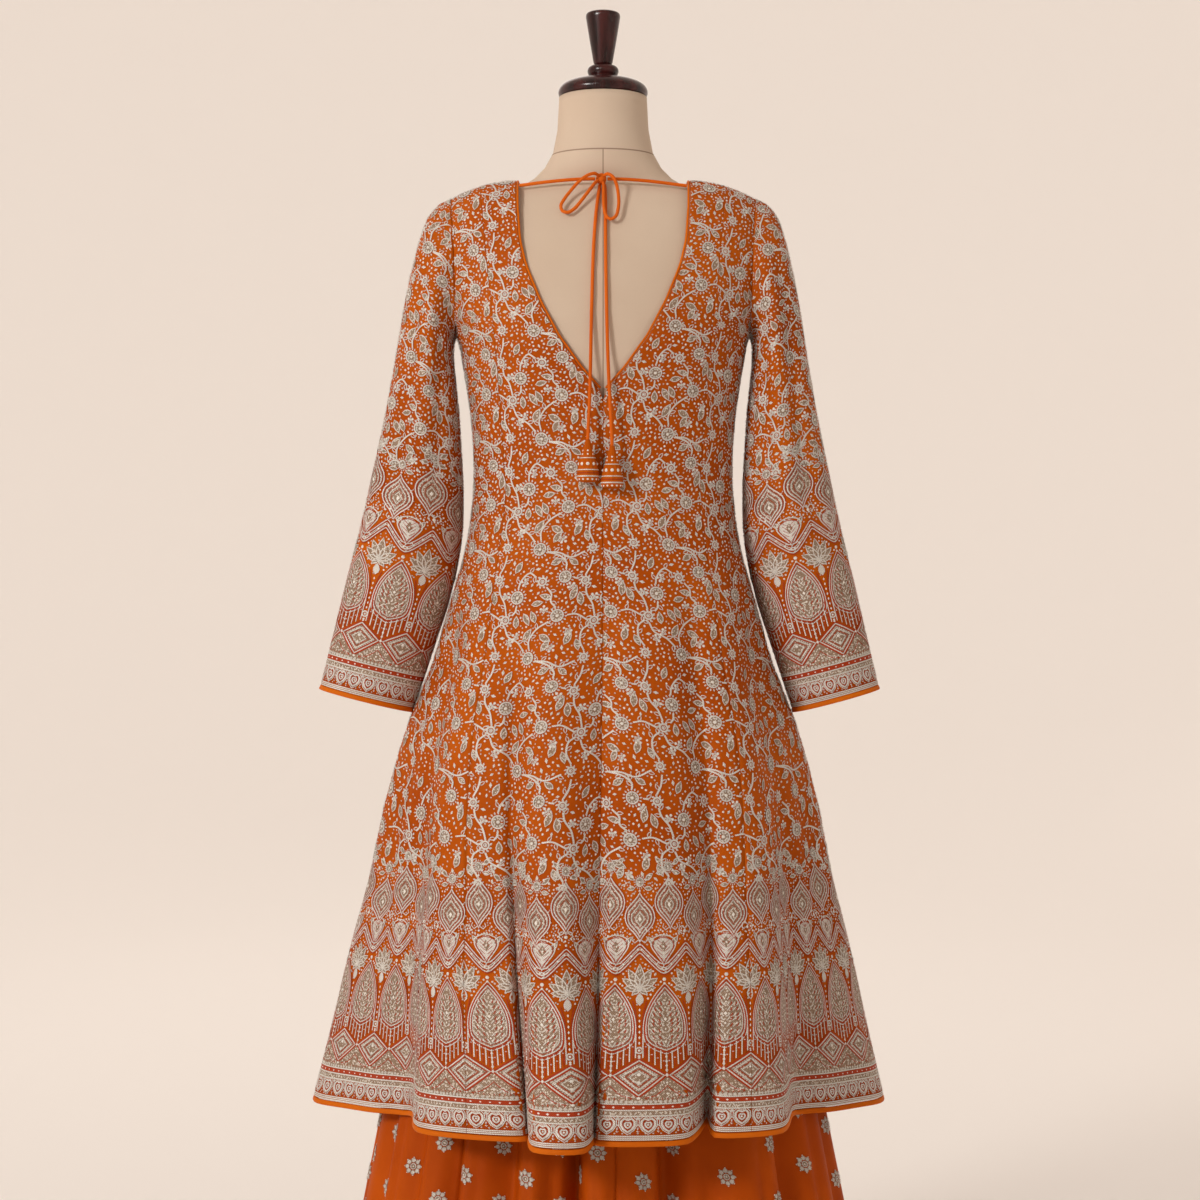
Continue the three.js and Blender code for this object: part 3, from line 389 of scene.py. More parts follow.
FRONT_NECK = np.array([(1238, 0), (1278, 45), (1321, 78), (1355, 92), (1381, 97)], float)
FOLDS = [  # crest x, y, way it faces, span, drop, valley x, y, lift, seam on the crest, seam in the valley
    (47, 279, 8, 50, 8, 8, 216, 2, "", "centre"),
    (142, 208, 20, 122, 12, 77, 196, 3, "princess", ""),
    (252, 78, 28, 72, 4, 206, 116, 4, "", ""),
    (327, 0, 90, 56, 7, None, None, 0, "side", ""),
    (270, -92, 128, 76, 6, None, None, 0, "", ""),
    (167, -186, 146, 98, 10, 212, -122, 5, "princess", ""),
    (56, -256, 168, 82, 9, 98, -194, 6, "", ""),
    (-62, -267, 190, 92, 9, 2, -204, 6, "", "centre"),
    (-176, -194, 216, 90, 9, -126, -184, 7, "princess", ""),
    (-262, -96, 234, 76, 6, -218, -122, 4, "", ""),
    (-317, 0, 270, 56, 7, None, None, 0, "side", ""),
    (-248, 75, 332, 72, 4, None, None, 0, "", ""),
    (-155, 199, 344, 74, 9, -204, 116, 4, "princess", ""),
    (-40, 243, 356, 94, 9, -110, 168, 9, "", ""),
]
HEM_STEP = 9.0
PANELS = ["kurta_back_left", "kurta_side_back_left", "kurta_side_front_left", "kurta_front_left",
          "kurta_front_right", "kurta_side_front_right", "kurta_side_back_right", "kurta_back_right"]


def hem_line():
    """Columns of the hem: x, y, lift, and the places where seams run down it."""
    points, lifts, seams = [], [], []
    for x, y, facing, span, drop, valley_x, valley_y, lift, seam, valley_seam in FOLDS:
        a = math.radians(facing)
        out = np.array([math.sin(a), math.cos(a)])
        along = np.array([math.cos(a), -math.sin(a)])
        if valley_x is not None:
            points.append((valley_x, valley_y)); lifts.append(lift); seams.append(valley_seam)
        points.append(np.array([x, y]) - along * span / 2 - out * drop); lifts.append(0); seams.append("")
        points.append((x, y)); lifts.append(0); seams.append(seam)
        points.append(np.array([x, y]) + along * span / 2 - out * drop); lifts.append(0); seams.append("")
    p = np.array(points, float)
    gaps = np.linalg.norm(np.roll(p, -1, 0) - p, axis=1)
    steps = np.maximum(2, np.round(gaps / HEM_STEP)).astype(int)
    line = centripetal(p, True, steps)
    spans = zip(lifts, np.roll(lifts, -1), steps)
    lift = np.concatenate([np.linspace(a, b, s, endpoint=False) for a, b, s in spans])
    starts = np.concatenate([[0], np.cumsum(steps)[:-1]])
    return np.column_stack([line, lift]), [starts[i] for i, s in enumerate(seams) if s]


def ridge_height(x):
    run = np.maximum(0, np.abs(x) - NECK_X) / (SHOULDER_X - NECK_X)
    return NECK_TOP - (NECK_TOP - SHOULDER_TOP) * run * run


def angle_at(x, z):
    return np.arcsin(np.minimum(1, x / smooth(z, BODY[:, 0], BODY[:, 1])) ** (POWER / 2))


def body_point(angle, z, behind):
    share = np.sin(angle) ** (2 / POWER)
    x = smooth(z, BODY[:, 0], BODY[:, 1]) * share
    depth = smooth(z, BODY[:, 0], BODY[:, 2 if behind else 3])
    climb = np.clip((z - YOKE) / (ridge_height(x) - YOKE), 0, 1)
    y = depth * np.maximum(0, np.cos(angle)) ** (2 / POWER) * np.cbrt(1 - climb ** 3)
    return np.stack([x, y if behind else -y, z + 0 * x], -1)


def panel_point(panel, share, hem, z):
    behind = panel < 2 or panel > 5
    sideways = panel in (1, 2, 5, 6)
    neck = BACK_NECK if behind else FRONT_NECK
    low = np.maximum(z, WAIST)
    princess = angle_at(np.interp(low, *PRINCESS.T), low)
    side = np.where(z > UNDERARM, angle_at(np.interp(z, *ARMHOLE.T), z), math.pi / 2)
    middle = np.where(z > neck[0, 0], angle_at(np.interp(z, *neck.T), z), 0.0)
    first, last = (princess, side) if sideways else (middle, princess)
    p = body_point(first + (last - first) * share, z, behind)
    if panel > 3:
        p[..., 0] *= -1
    grow = np.clip((FOLD_START - z) / (FOLD_START - HEM), 0, 1)
    wide = smooth(z, BODY[:, 0], BODY[:, 1]) / HALF_HEM
    deep = smooth(z, BODY[:, 0], BODY[:, 2 if behind else 3]) / DEPTH_HEM
    p[..., 0] += grow * (wide * hem[:, 0] - p[..., 0])
    p[..., 1] += grow * (deep * hem[:, 1] - p[..., 1])
    p[..., 2] += hem[:, 2] * grow ** 3
    return p


# %% [markdown]
# With the table read, each panel becomes a grid. Low rows are level and the rows over the
# shoulder bunch up towards its ridge, where the cloth turns fastest.

# %% The kurta's panels as grids
ROW_STEP = 11.5
hem_columns, seam_columns = hem_line()
low_rows = np.linspace(HEM + BINDING + 0.3, UNDERARM, round((UNDERARM - HEM) / ROW_STEP))
yoke_rows = 1 - (1 - np.linspace(0, 1, 19)[1:]) ** 1.6


def panel_grid(panel):
    start = seam_columns[panel]
    end = seam_columns[panel + 1] if panel < 7 else len(hem_columns)
    hem = hem_columns[np.arange(start, end + 1) % len(hem_columns)]
    reach = reach_along(hem[:, :2])
    share = reach / reach[-1]
    if panel not in (0, 1, 4, 5):
        share = 1 - share
    rows = [panel_point(panel, share, hem, np.full(len(hem), z)) for z in low_rows]
    for step in yoke_rows:
        z = np.full(len(hem), UNDERARM + (NECK_TOP - UNDERARM) * step)
        for _ in range(8):
            x = panel_point(panel, share, hem, z)[:, 0]
            z = UNDERARM + (ridge_height(x) - UNDERARM) * step
        rows.append(panel_point(panel, share, hem, z))
    rows[-1][:, 1] = 0
    return np.array(rows), share


kurta = [panel_grid(k) for k in range(8)]
print("kurta columns", len(hem_columns), "rows", len(low_rows) + len(yoke_rows))

# %% [markdown]
# Cloth that has been worn and steamed still shows soft lines: faint gathers below the waist,
# drag lines at the underarm, and shallow troughs between the large folds. Each is a row in a
# table: the side it is on, where it starts and ends, how wide it is and how deep. A negative
# depth is a ridge.

# %% Creases
KURTA_CREASES = {  # on each side: start across and height, end across and height, width, depth
    "back": [
        (112, 930, 84, 690, 13, 3.4), (-6, 915, 0, 690, 11, 3.0), (-92, 930, -106, 690, 13, 3.6),
        (-158, 900, -188, 660, 12, 3.2), (160, 905, 192, 660, 12, 3.4), (60, 900, 52, 610, 17, -2.2),
        (-46, 880, -50, 600, 19, -2.0), (132, 860, 140, 600, 17, -1.8), (-132, 850, -150, 610, 16, -1.8),
        (-18, 640, -16, 380, 8, 3.4), (176, 640, 186, 372, 9, 2.8), (112, 560, 118, 372, 10, 2.6),
        (-72, 560, -70, 380, 9, 2.2), (-176, 620, -180, 400, 8, 2.4), (236, 560, 250, 380, 10, 2.6),
        (-226, 600, -236, 390, 10, 2.4), (62, 520, 64, 370, 6, 1.8), (28, 640, 30, 400, 6, 1.4),
        (148, 1196, 96, 1150, 9, 2.2), (150, 1168, 104, 1112, 9, 1.6), (-148, 1190, -98, 1138, 9, 2.4),
        (-150, 1150, -112, 1100, 8, 1.4), (138, 1046, 66, 1026, 9, 1.5), (-140, 1050, -60, 1030, 9, 1.6),
        (122, 1012, 60, 1002, 8, 1.0), (-118, 1018, -70, 1004, 8, 1.0), (150, 1300, 132, 1215, 9, 1.6),
        (-152, 1296, -134, 1210, 9, 1.6)],
    "front": [
        (96, 925, 110, 680, 13, 3.2), (4, 920, 0, 680, 12, 3.0), (-98, 930, -118, 680, 13, 3.4),
        (160, 900, 190, 650, 12, 3.0), (-162, 900, -196, 650, 12, 3.2), (52, 880, 56, 600, 17, -2.0),
        (-52, 880, -60, 600, 17, -2.0), (30, 600, 34, 390, 9, 2.4), (-38, 600, -40, 390, 9, 2.6),
        (150, 560, 156, 390, 9, 2.2), (-168, 560, -176, 390, 10, 2.6), (140, 1180, 84, 1140, 9, 1.8),
        (-142, 1176, -86, 1132, 9, 1.8), (130, 1044, 50, 1028, 9, 1.4), (-128, 1048, -56, 1030, 9, 1.4),
        (232, 560, 246, 390, 9, 2.2)],
    "left": [
        (40, 860, 52, 480, 12, 3.6), (-44, 860, -58, 480, 12, 3.4), (4, 840, 6, 600, 14, -2.2),
        (26, 520, 30, 372, 7, 2.2), (-22, 540, -28, 372, 7, 2.4)],
    "right": [
        (42, 860, 50, 490, 12, 3.4), (-46, 860, -60, 480, 12, 3.6), (-2, 840, 0, 600, 14, -2.2),
        (22, 530, 26, 372, 7, 2.4), (-26, 520, -30, 372, 7, 2.2)],
}


def crease_depth(p, n, table):
    """How far the table's creases push each point in, from their distance to it."""
    depth = np.zeros(p.shape[:-1])
    for side, (a0, z0, a1, z1, width, deep) in [(side, row) for side in table for row in table[side]]:
        flat, facing = {"back": (0, n[..., 1]), "front": (0, -n[..., 1]),
                        "left": (1, n[..., 0]), "right": (1, -n[..., 0])}[side]
        a, z = p[..., flat], p[..., 2]
        run = np.array([a1 - a0, z1 - z0], float)
        long = np.linalg.norm(run)
        t = ((a - a0) * run[0] + (z - z0) * run[1]) / long ** 2
        off = ((a - a0) * run[1] - (z - z0) * run[0]) / long
        ends = np.clip(4 * t * (1 - t), 0, 1) ** 0.7
        seen = np.clip((facing - 0.15) / 0.35, 0, 1)
        depth += deep * ends * seen * np.exp(-(off / width) ** 2)
    return depth


def join_normals(grids, normals):
    """Gives two panels the same normal where they meet at a seam."""
    for k in range(8):
        a, b = normals[k], normals[(k + 1) % 8]
        pa, pb = grids[k][:, -1], grids[(k + 1) % 8][:, 0]
        meet = np.linalg.norm(pa - pb, axis=1) < 0.5
        both = unit(a[:, -1] + b[:, 0])
        a[meet, -1] = both[meet]
        b[meet, 0] = both[meet]
    return normals


kurta_grids = [grid for grid, _ in kurta]
kurta_normals = join_normals(kurta_grids, [grid_normals(g, False) for g in kurta_grids])
for k in range(8):
    pushed = crease_depth(kurta_grids[k], kurta_normals[k], KURTA_CREASES)
    pushed[0] *= 0.6
    kurta_grids[k] = kurta_grids[k] - kurta_normals[k] * pushed[..., None]
kurta_normals = join_normals(kurta_grids, [grid_normals(g, False) for g in kurta_grids])
for n in kurta_normals:
    n[-1, :, 1] = 0
    n[-1] = unit(n[-1])

# %% [markdown]
# Embroidery and weave need flat coordinates on the cloth: how far a point is round the body
# and how far up from the hem, in millimetres. They are kept as the map "flat" on the mesh.

# %% Flat coordinates, and the kurta's panels as shells
def flat_lengths(p):
    steps = np.linalg.norm(np.diff(p, axis=1), axis=2)
    round_body = np.concatenate([np.zeros((len(p), 1)), np.cumsum(steps, 1)], 1)
    climbs = np.linalg.norm(np.diff(p, axis=0), axis=2).mean(1)
    up = np.concatenate([[0], np.cumsum(climbs)])
    return round_body, up


SEAM_GAP = 0.15


def parted(p, ridge_way=0):
    """Draws a panel's edges back by half a seam gap."""
    q = p.copy()
    q[:, 0] += unit(p[:, 1] - p[:, 0]) * SEAM_GAP / 2
    q[:, -1] += unit(p[:, -2] - p[:, -1]) * SEAM_GAP / 2
    q[-1, :, 1] += ridge_way * SEAM_GAP / 2
    return q


kurta_flat = []
kurta_pieces = {}
for k, name in enumerate(PANELS):
    p, n = kurta_grids[k], kurta_normals[k]
    round_body, up = flat_lengths(p)
    kurta_flat.append((round_body, up))
    flat = np.stack([round_body, np.repeat(up[:, None], p.shape[1], 1)], -1)
    way = 1 if k < 2 or k > 5 else -1
    kurta_pieces[name] = shell(name + "_cloth", parted(p, way), n, CLOTH, False, flat, ground_cloth)
    print(name, "hem", round(round_body[0, -1]), "mm, length", round(up[-1]), "mm")

# %% [markdown]
# A set-in sleeve is a slanting tube from the armhole to the cuff, a little wider at the
# cuff. Its sections tilt, because the inner edge hangs lower than the outer one.

# %% Sleeves
SLEEVE = np.array([  # inner x and height, outer x and height, half depth
    (167.5, 1203, 184, 1357, 51), (169, 1195, 197, 1341, 53), (169, 1183, 207, 1312, 54),
    (168, 1167, 215, 1279, 54), (165.5, 1146, 223, 1240, 53), (162.5, 1116, 232, 1184, 52),
    (160, 1076, 243, 1122, 50), (158, 1030, 255, 1064, 48), (160, 976, 269, 1000, 45),
    (171, 920, 283, 944, 42), (190, 860, 297, 886, 40), (213.5, 789, 314, 815, 38)], float)
SLEEVE_TROUGHS = [  # degrees round from the inner edge by the back, width, depth, top, low
    (118, 15, 7, 1320, 960), (62, 13, 4, 1280, 1010), (246, 16, 6, 1310, 980), (300, 14, 4, 1240, 1000)]
SLEEVE_CREASES = [  # start degrees and height, end degrees and height, width, depth
    (40, 1090, 118, 1068, 9, 2.2), (52, 1046, 128, 1022, 9, 2.0), (36, 1010, 96, 1000, 8, 1.6),
    (60, 1150, 130, 1120, 10, 1.8), (250, 1082, 318, 1060, 9, 2.0), (238, 1040, 310, 1024, 9, 1.8),
    (30, 1180, 80, 1130, 9, 2.0), (290, 1180, 330, 1140, 9, 1.8), (84, 940, 96, 840, 10, 1.8),
    (130, 960, 138, 850, 11, 1.6), (262, 950, 270, 850, 11, 1.8), (112, 1330, 100, 1260, 9, 1.4)]
SLEEVE_COLUMNS, SLEEVE_LEAN, ARMHOLE_GAP = 48, 4.0, 0.15
sections = len(SLEEVE)


def sleeve_grid(way):
    turn = np.linspace(0, 2 * math.pi, SLEEVE_COLUMNS, endpoint=False)
    across = (1 - np.cos(turn)) / 2
    z = UNDERARM + (SHOULDER_TOP - UNDERARM) * across
    x = np.interp(z, *ARMHOLE.T)
    angle = angle_at(x, z)
    back, front = body_point(angle, z, True), body_point(angle, z, False)
    armhole = np.where((np.sin(turn) > 0)[:, None], back, front)
    armhole[0, 1] = 0
    armhole[:, 0] = x + ARMHOLE_GAP
    degrees = np.degrees(turn)
    rows = []
    for t in np.concatenate([np.linspace(0, 1, 5)[:-1], np.linspace(1, sections, 50)]):
        k = np.clip(t - 1, 0, sections - 1)
        in_x, in_z, out_x, out_z, depth = (smooth(k, np.arange(sections), SLEEVE[:, c]) for c in range(5))
        middle = (in_z + out_z) / 2
        height = in_z + (out_z - in_z) * across
        dent = 0.0
        for at, wide, deep, top, low in SLEEVE_TROUGHS:
            along = np.clip(min((top - middle) / 60, (middle - low) / 80), 0, 1)
            dent = dent + deep * along * np.exp(-((degrees - at) / wide) ** 2)
        for d0, z0, d1, z1, wide, deep in SLEEVE_CREASES:
            run = np.array([(d1 - d0) * 0.95, z1 - z0])
            long = np.linalg.norm(run)
            da, dz = (degrees - d0) * 0.95, height - z0
            s = (da * run[0] + dz * run[1]) / long ** 2
            off = (da * run[1] - dz * run[0]) / long
            dent = dent + deep * np.clip(4 * s * (1 - s), 0, 1) ** 0.7 * np.exp(-(off / wide) ** 2)
        lean = SLEEVE_LEAN * k / (sections - 1) * across * way
        ring = np.stack([
            in_x + (out_x - in_x) * across + dent * np.cos(turn) * (out_x - in_x) / 2 / depth + lean,
            (depth - dent) * np.sin(turn), height], -1)
        if t < 1:
            ease = t * t * (3 - 2 * t)
            ring = armhole + (ring - armhole) * (0.5 * t + 0.5 * ease)
        rows.append(ring)
    grid = np.array(rows[::-1])
    if way < 0:
        grid = grid[:, ::-1] * np.array([-1, 1, 1])
    return grid


def wrap_flat(p):
    """Flat coordinates of a tube, in one column more than its points."""
    closed = np.concatenate([p, p[:, :1]], 1)
    return flat_lengths(closed)


sleeve_grids, sleeve_normals, sleeve_pieces = {}, {}, {}
for side, way in (("left", 1), ("right", -1)):
    p = sleeve_grid(way)
    n = grid_normals(p, True)
    n[-1, :, 0] = 0
    n[-1] = unit(n[-1])
    round_arm, up = wrap_flat(p)
    flat = np.stack([round_arm[:, :-1], np.repeat(up[:, None], p.shape[1], 1)], -1)
    sleeve_grids[side], sleeve_normals[side] = p, n
    sleeve_pieces[side] = shell(f"sleeve_{side}_cloth", p, n, CLOTH, True, flat, ground_cloth)
    print("sleeve", side, "cuff round", round(round_arm[0, -1]), "mm, length", round(up[-1]), "mm")

# %% [markdown]
# The hem and both cuffs are finished with a folded strip of plain satin. Its edge is round,
# not square, so a twelve sided section with a soft belly is swept along the edge.

# %% Bindings
STRIP = np.array([  # out from the cloth, down from the strip's top
    (-0.5, 0.0), (0.0, 0.5), (0.2, 1.6), (0.35, 3.0), (0.3, 4.4), (-0.2, 5.3), (-1.4, 5.5),
    (-2.6, 5.3), (-3.0, 4.4), (-3.05, 2.8), (-3.0, 1.2), (-2.4, 0.1)])
BINDING_WALL = 3.0


def strip_piece(name, top, out, down, wraps, material):
    rings = top[:, None] + out[:, None] * STRIP[None, :, :1] + down[:, None] * STRIP[None, :, 1:]
    rows, columns = rings.shape[:2]
    index = ringed_index(rows, columns)
    if wraps:
        index = np.vstack([index, index[:1]])
    faces = np.stack([index[:-1, :-1], index[:-1, 1:], index[1:, 1:], index[1:, :-1]], -1).reshape(-1, 4)
    points = rings.reshape(-1, 3)
    if not wraps:
        start = np.arange(columns)
        finish = start + (rows - 1) * columns
        caps = [[start[0], start[s + 1], start[s + 2], start[s + 3 if s + 3 < columns else 0]]
            for s in range(0, columns - 2, 2)]
        caps += [[finish[0], finish[s + 3 if s + 3 < columns else 0], finish[s + 2], finish[s + 1]]
            for s in range(0, columns - 2, 2)]
        faces = np.vstack([faces, np.array(caps)])
    reach = reach_along(top)
    flat = np.stack(np.broadcast_arrays(reach[:, None], STRIP[None, :, 1] * 2), -1).reshape(-1, 2)
    return mesh_object(name, points, faces[:, ::-1], flat, material)


down_z = np.array([0, 0, -1.0])
binding_pieces = {}
for name, order in (("kurta_hem_binding_front", (2, 3, 4, 5)), ("kurta_hem_binding_back", (6, 7, 0, 1))):
    edge = np.concatenate([kurta_grids[k][0][(0 if i == 0 else 1):] for i, k in enumerate(order)])
    slope = np.concatenate([kurta_normals[k][0][(0 if i == 0 else 1):] for i, k in enumerate(order)])
    out = unit(slope * np.array([1, 1, 0]))
    top = edge + out * (BINDING_WALL - CLOTH) / 2
    top[:, 2] = edge[:, 2] - 0.6 - CLOTH * np.abs(slope[:, 2])
    top[0] += unit(top[1] - top[0]) * SEAM_GAP / 2
    top[-1] += unit(top[-2] - top[-1]) * SEAM_GAP / 2
    down = down_z + out * 0.2
    binding_pieces[name] = strip_piece(name + "_strip", top, out, down, False, trim_cloth)
for side in ("left", "right"):
    p, n = sleeve_grids[side], sleeve_normals[side]
    along = unit(p[0].mean(0) - p[1].mean(0))
    top = p[0] + n[0] * (BINDING_WALL - CLOTH) / 2 + along * 0.3
    down = np.repeat(along[None], len(top), 0) + n[0] * 0.1
    name = f"cuff_binding_{side}"
    binding_pieces[name] = strip_piece(name + "_strip", top, n[0], down, True, trim_cloth)

# %% [markdown]
# The V back and the front neckline have a narrow rolled edge. It is a thin tube that lies
# along the inner edge of the panels.

# %% Rolled neck edges
ROLL = 1.3


def tube_piece(name, line, radius, sides, material):
    along = unit(np.gradient(line, axis=0))
    first = unit(np.cross(np.array([0, 1.0, 0]), along))
    second = np.cross(along, first)
    turn = np.linspace(0, 2 * math.pi, sides, endpoint=False)
    ring = first[:, None] * np.cos(turn)[None, :, None] + second[:, None] * np.sin(turn)[None, :, None]
    points = (line[:, None] + ring * radius).reshape(-1, 3)
    index = ringed_index(len(line), sides)
    faces = np.stack([index[:-1, :-1], index[:-1, 1:], index[1:, 1:], index[1:, :-1]], -1).reshape(-1, 4)
    caps = []
    for ring_start, turn_way in ((0, -1), ((len(line) - 1) * sides, 1)):
        for s in range(1, sides - 2, 2):
            quad = [ring_start, ring_start + s, ring_start + s + 1, ring_start + s + 2]
            caps.append(quad[::turn_way])
    points = np.asarray(points)
    reach = reach_along(line)
    flat = np.stack(np.broadcast_arrays(reach[:, None], (turn * radius)[None]), -1).reshape(-1, 2)
    return mesh_object(name, points, np.vstack([faces, np.array(caps)]), flat, material)


for name, k, column, inner, low in (
        ("neck_binding_back_left", 0, 0, 1, BACK_NECK[0, 0]),
            ("neck_binding_front_left", 3, -1, -2, FRONT_NECK[0, 0]),
        ("neck_binding_front_right", 4, 0, 1, FRONT_NECK[0, 0]),
            ("neck_binding_back_right", 7, -1, -2, BACK_NECK[0, 0])):
    p, n = kurta_grids[k], kurta_normals[k]
    on_edge = p[:, column, 2] > low + 1
    line, inside, facing = p[on_edge, column], p[on_edge, inner], n[on_edge, column]
    along = unit(np.gradient(line, axis=0))
    out = unit(np.cross(facing, along))
    out *= -np.sign((out * (inside - line)).sum(1))[:, None]
    line = line + out * (ROLL + 0.35) - facing * CLOTH / 2
    line[-1, 1] = (1 if k in (0, 7) else -1) * SEAM_GAP / 2
    line = centripetal(line, False, [2] * (len(line) - 1))
    binding_pieces[name] = tube_piece(name + "_roll", line, ROLL, 10, trim_cloth)

# %% [markdown]
# The skirt is full and gathered on a waistband. It is sewn from eight widths of cloth, with
# the seams down in the valleys. In plan it is a rounded ellipse, pushed in at each valley
# between gathers, and the valleys deepen towards the hem.

# %% Skirt
SKIRT = np.array([  # height, half width, half depth, gather, power
    (25, 315, 248, 22, 2), (243, 272, 200, 17, 2), (348, 251, 180, 14, 2), (520, 224, 164, 10, 2),
    (740, 194, 143, 7, 2), (840, 176, 128, 4, 2.1), (900, 161, 113, 3, 2.2), (998, 133.2, 84.2, 0.7, 2.2)],
            float)
GATHERS = [  # degrees from +Y towards +X, depth, width
    (8.5, 1.3, 2.6), (14.5, 0.5, 2.6), (26.7, 1.0, 4.2), (42.4, 0.9, 3.6), (54.1, 0.6, 3.2),
    (67.9, 0.5, 3.2), (84, 0.8, 4.2), (100, 0.7, 4.2), (116, 1.0, 4.4), (131, 0.6, 4.0),
    (145, 1.2, 4.4), (158, 0.5, 3.6), (170, 1.0, 4.0), (183, 0.6, 4.0), (196, 1.2, 4.2),
    (210, 0.5, 4.0), (224, 1.0, 4.4), (238, 0.8, 4.0), (254, 1.0, 4.4), (270, 0.6, 4.2),
    (284.3, 0.5, 3.4), (305.9, 1.2, 4.6), (331, 0.5, 3.6), (341, 1.2, 4.0), (356.7, 0.4, 3.4)]
SMALL_GATHERS = [  # the same, for the fine lines between them, with a top and a low end
    (20, 0.28, 1.6, 520, 60), (34, 0.3, 1.8, 480, 90), (48, 0.24, 1.6, 500, 120), (61, 0.3, 1.8, 460, 40),
    (92, 0.26, 1.8, 520, 80), (124, 0.28, 1.8, 480, 60), (151, 0.26, 1.6, 500, 90), (176, 0.3, 1.8, 470, 50),
    (203, 0.26, 1.8, 510, 70), (231, 0.3, 1.8, 480, 60), (262, 0.26, 1.8, 520, 90), (295, 0.3, 2.0, 500, 60),
    (318, 0.28, 1.8, 480, 40), (349, 0.3, 1.7, 500, 70), (2, 0.22, 1.6, 480, 80)]


DEEPER_BELOW, DEEPER_OVER = 560, 160  # gathers that face back or front deepen below this height


def skirt_point(degrees, z):
    a = np.radians(degrees)
    half, depth, gather, power = (smooth(z, SKIRT[:, 0], SKIRT[:, c]) for c in (1, 2, 3, 4))
    x = half * np.sign(np.sin(a)) * np.abs(np.sin(a)) ** (2 / power)
    y = depth * np.sign(np.cos(a)) * np.abs(np.cos(a)) ** (2 / power)
    dent = np.zeros(np.broadcast(degrees, z).shape)
    for at, deep, wide in GATHERS:
        off = (degrees - at + 540) % 360 - 180
        facing = math.cos(math.radians(at)) ** 2 * np.clip((DEEPER_BELOW - z) / DEEPER_OVER, 0, 1)
        valley, shoulders = np.exp(-(off / wide) ** 2), np.exp(-(off / (2.4 * wide)) ** 2)
        dent += deep * ((1 + 0.7 * facing) * valley + 1.1 * facing * shoulders)
    for at, deep, wide, top, low in SMALL_GATHERS:
        off = (degrees - at + 540) % 360 - 180
        t = np.clip((top - z) / (top - low), 0, 1)
        dent += deep * np.sin(math.pi * np.minimum(1, t * 0.8)) * np.exp(-(off / wide) ** 2)
    share = 1 - dent * gather / np.hypot(x, y)
    return np.stack([x * share, y * share, z + 0 * x], -1)


SKIRT_WIDTHS = {  # the widths of cloth sewn together, each from a valley to a valley
    "skirt_back_left": (-3.3, 42.4), "skirt_side_back_left": (42.4, 84), "skirt_side_front_left": (84, 131),
    "skirt_front_left": (131, 183), "skirt_front_right": (183, 224), "skirt_side_front_right": (224, 270),
    "skirt_side_back_right": (270, 305.9), "skirt_back_right": (305.9, 356.7)}
skirt_heights = np.concatenate([np.linspace(25, 430, 34), np.linspace(450, 998, 24)])
skirt_pieces, skirt_grids = {}, {}
turns = [np.linspace(start, end, round(end - start) + 1)[:-1] for start, end in SKIRT_WIDTHS.values()]
starts = np.cumsum([0] + [len(t) for t in turns])
whole = skirt_point(np.concatenate(turns)[None], skirt_heights[:, None])
whole_normals = grid_normals(whole, True)
for k, name in enumerate(SKIRT_WIDTHS):
    pick = np.arange(starts[k], starts[k + 1] + 1) % starts[-1]
    p, n = whole[:, pick], whole_normals[:, pick]
    round_body, up = flat_lengths(p)
    flat = np.stack([round_body, np.repeat(up[:, None], p.shape[1], 1)], -1)
    skirt_grids[name] = (p, n, round_body, up)
    skirt_pieces[name] = shell(name + "_cloth", parted(p), n, CLOTH, False, flat, skirt_cloth)
    print(name, "hem", round(round_body[0, -1]), "mm, length", round(up[-1]), "mm")

# %% [markdown]
# The dress form is a hard shell covered with cream cotton. It is modelled as by hand: a circle
# at the bottom, extruded upwards and scaled to each section, then each ring is eased from an
# ellipse to a slightly squarer section, as a torso is.

# %% Dress form
FORM = np.array([  # height, half width, depth behind, depth before, power
    (770, 150, 98, 100, 2.2), (776, 158, 104, 106, 2.2), (840, 163, 112, 112, 2.2), (900, 150, 102, 101, 2.2),
    (960, 134, 86, 86, 2.2), (1000, 128.5, 79.5, 80, 2.2), (1034, 126, 78, 80, 2.2), (1080, 129, 85, 94, 2.2),
    (1135, 138, 92.5, 116, 2.3), (1180, 147, 98.5, 124, 2.4), (1225, 153, 100, 118, 2.5),
    (1270, 158, 94.5, 107, 2.6), (1310, 160, 82, 90, 2.6), (1340, 160, 68.5, 73, 2.5),
    (1356, 156, 57.5, 60, 2.3), (1364, 150, 51, 52, 2.2),
    (1374, 134, 39, 40, 2.0), (1376.2, 108, 34, 35, 2.0), (1378, 90, 35, 36, 2.0), (1385, 78, 40, 40, 2.0),
    (1397, 66, 44, 44, 2.0), (1414, 56.5, 48, 48, 2.0), (1440, 51.5, 49, 49, 2.0),
            (1477, 49.5, 49.5, 49.5, 2.0)], float)
FORM_SIDES = 72
form_heights = []
for low, high in zip(FORM[:-1, 0], FORM[1:, 0]):
    form_heights += list(np.linspace(low, high, max(1, round((high - low) / 9)), endpoint=False))
form_heights = np.array(form_heights + [FORM[-1, 0]])


def form_size(z):
    return tuple(np.interp(z, FORM[:, 0], FORM[:, c]) for c in (1, 2, 3, 4))


def deselect():
    bpy.ops.object.select_all(action="DESELECT")


def start_circle(name, sides, radius, z):
    """A filled circle, left in edit mode, to be extruded ring by ring."""
    deselect()
    bpy.ops.mesh.primitive_circle_add(vertices=sides, radius=radius, fill_type="NGON", location=(0, 0, z))
    piece = bpy.context.active_object
    piece.name = name
    bpy.ops.object.mode_set(mode="EDIT")
    return piece


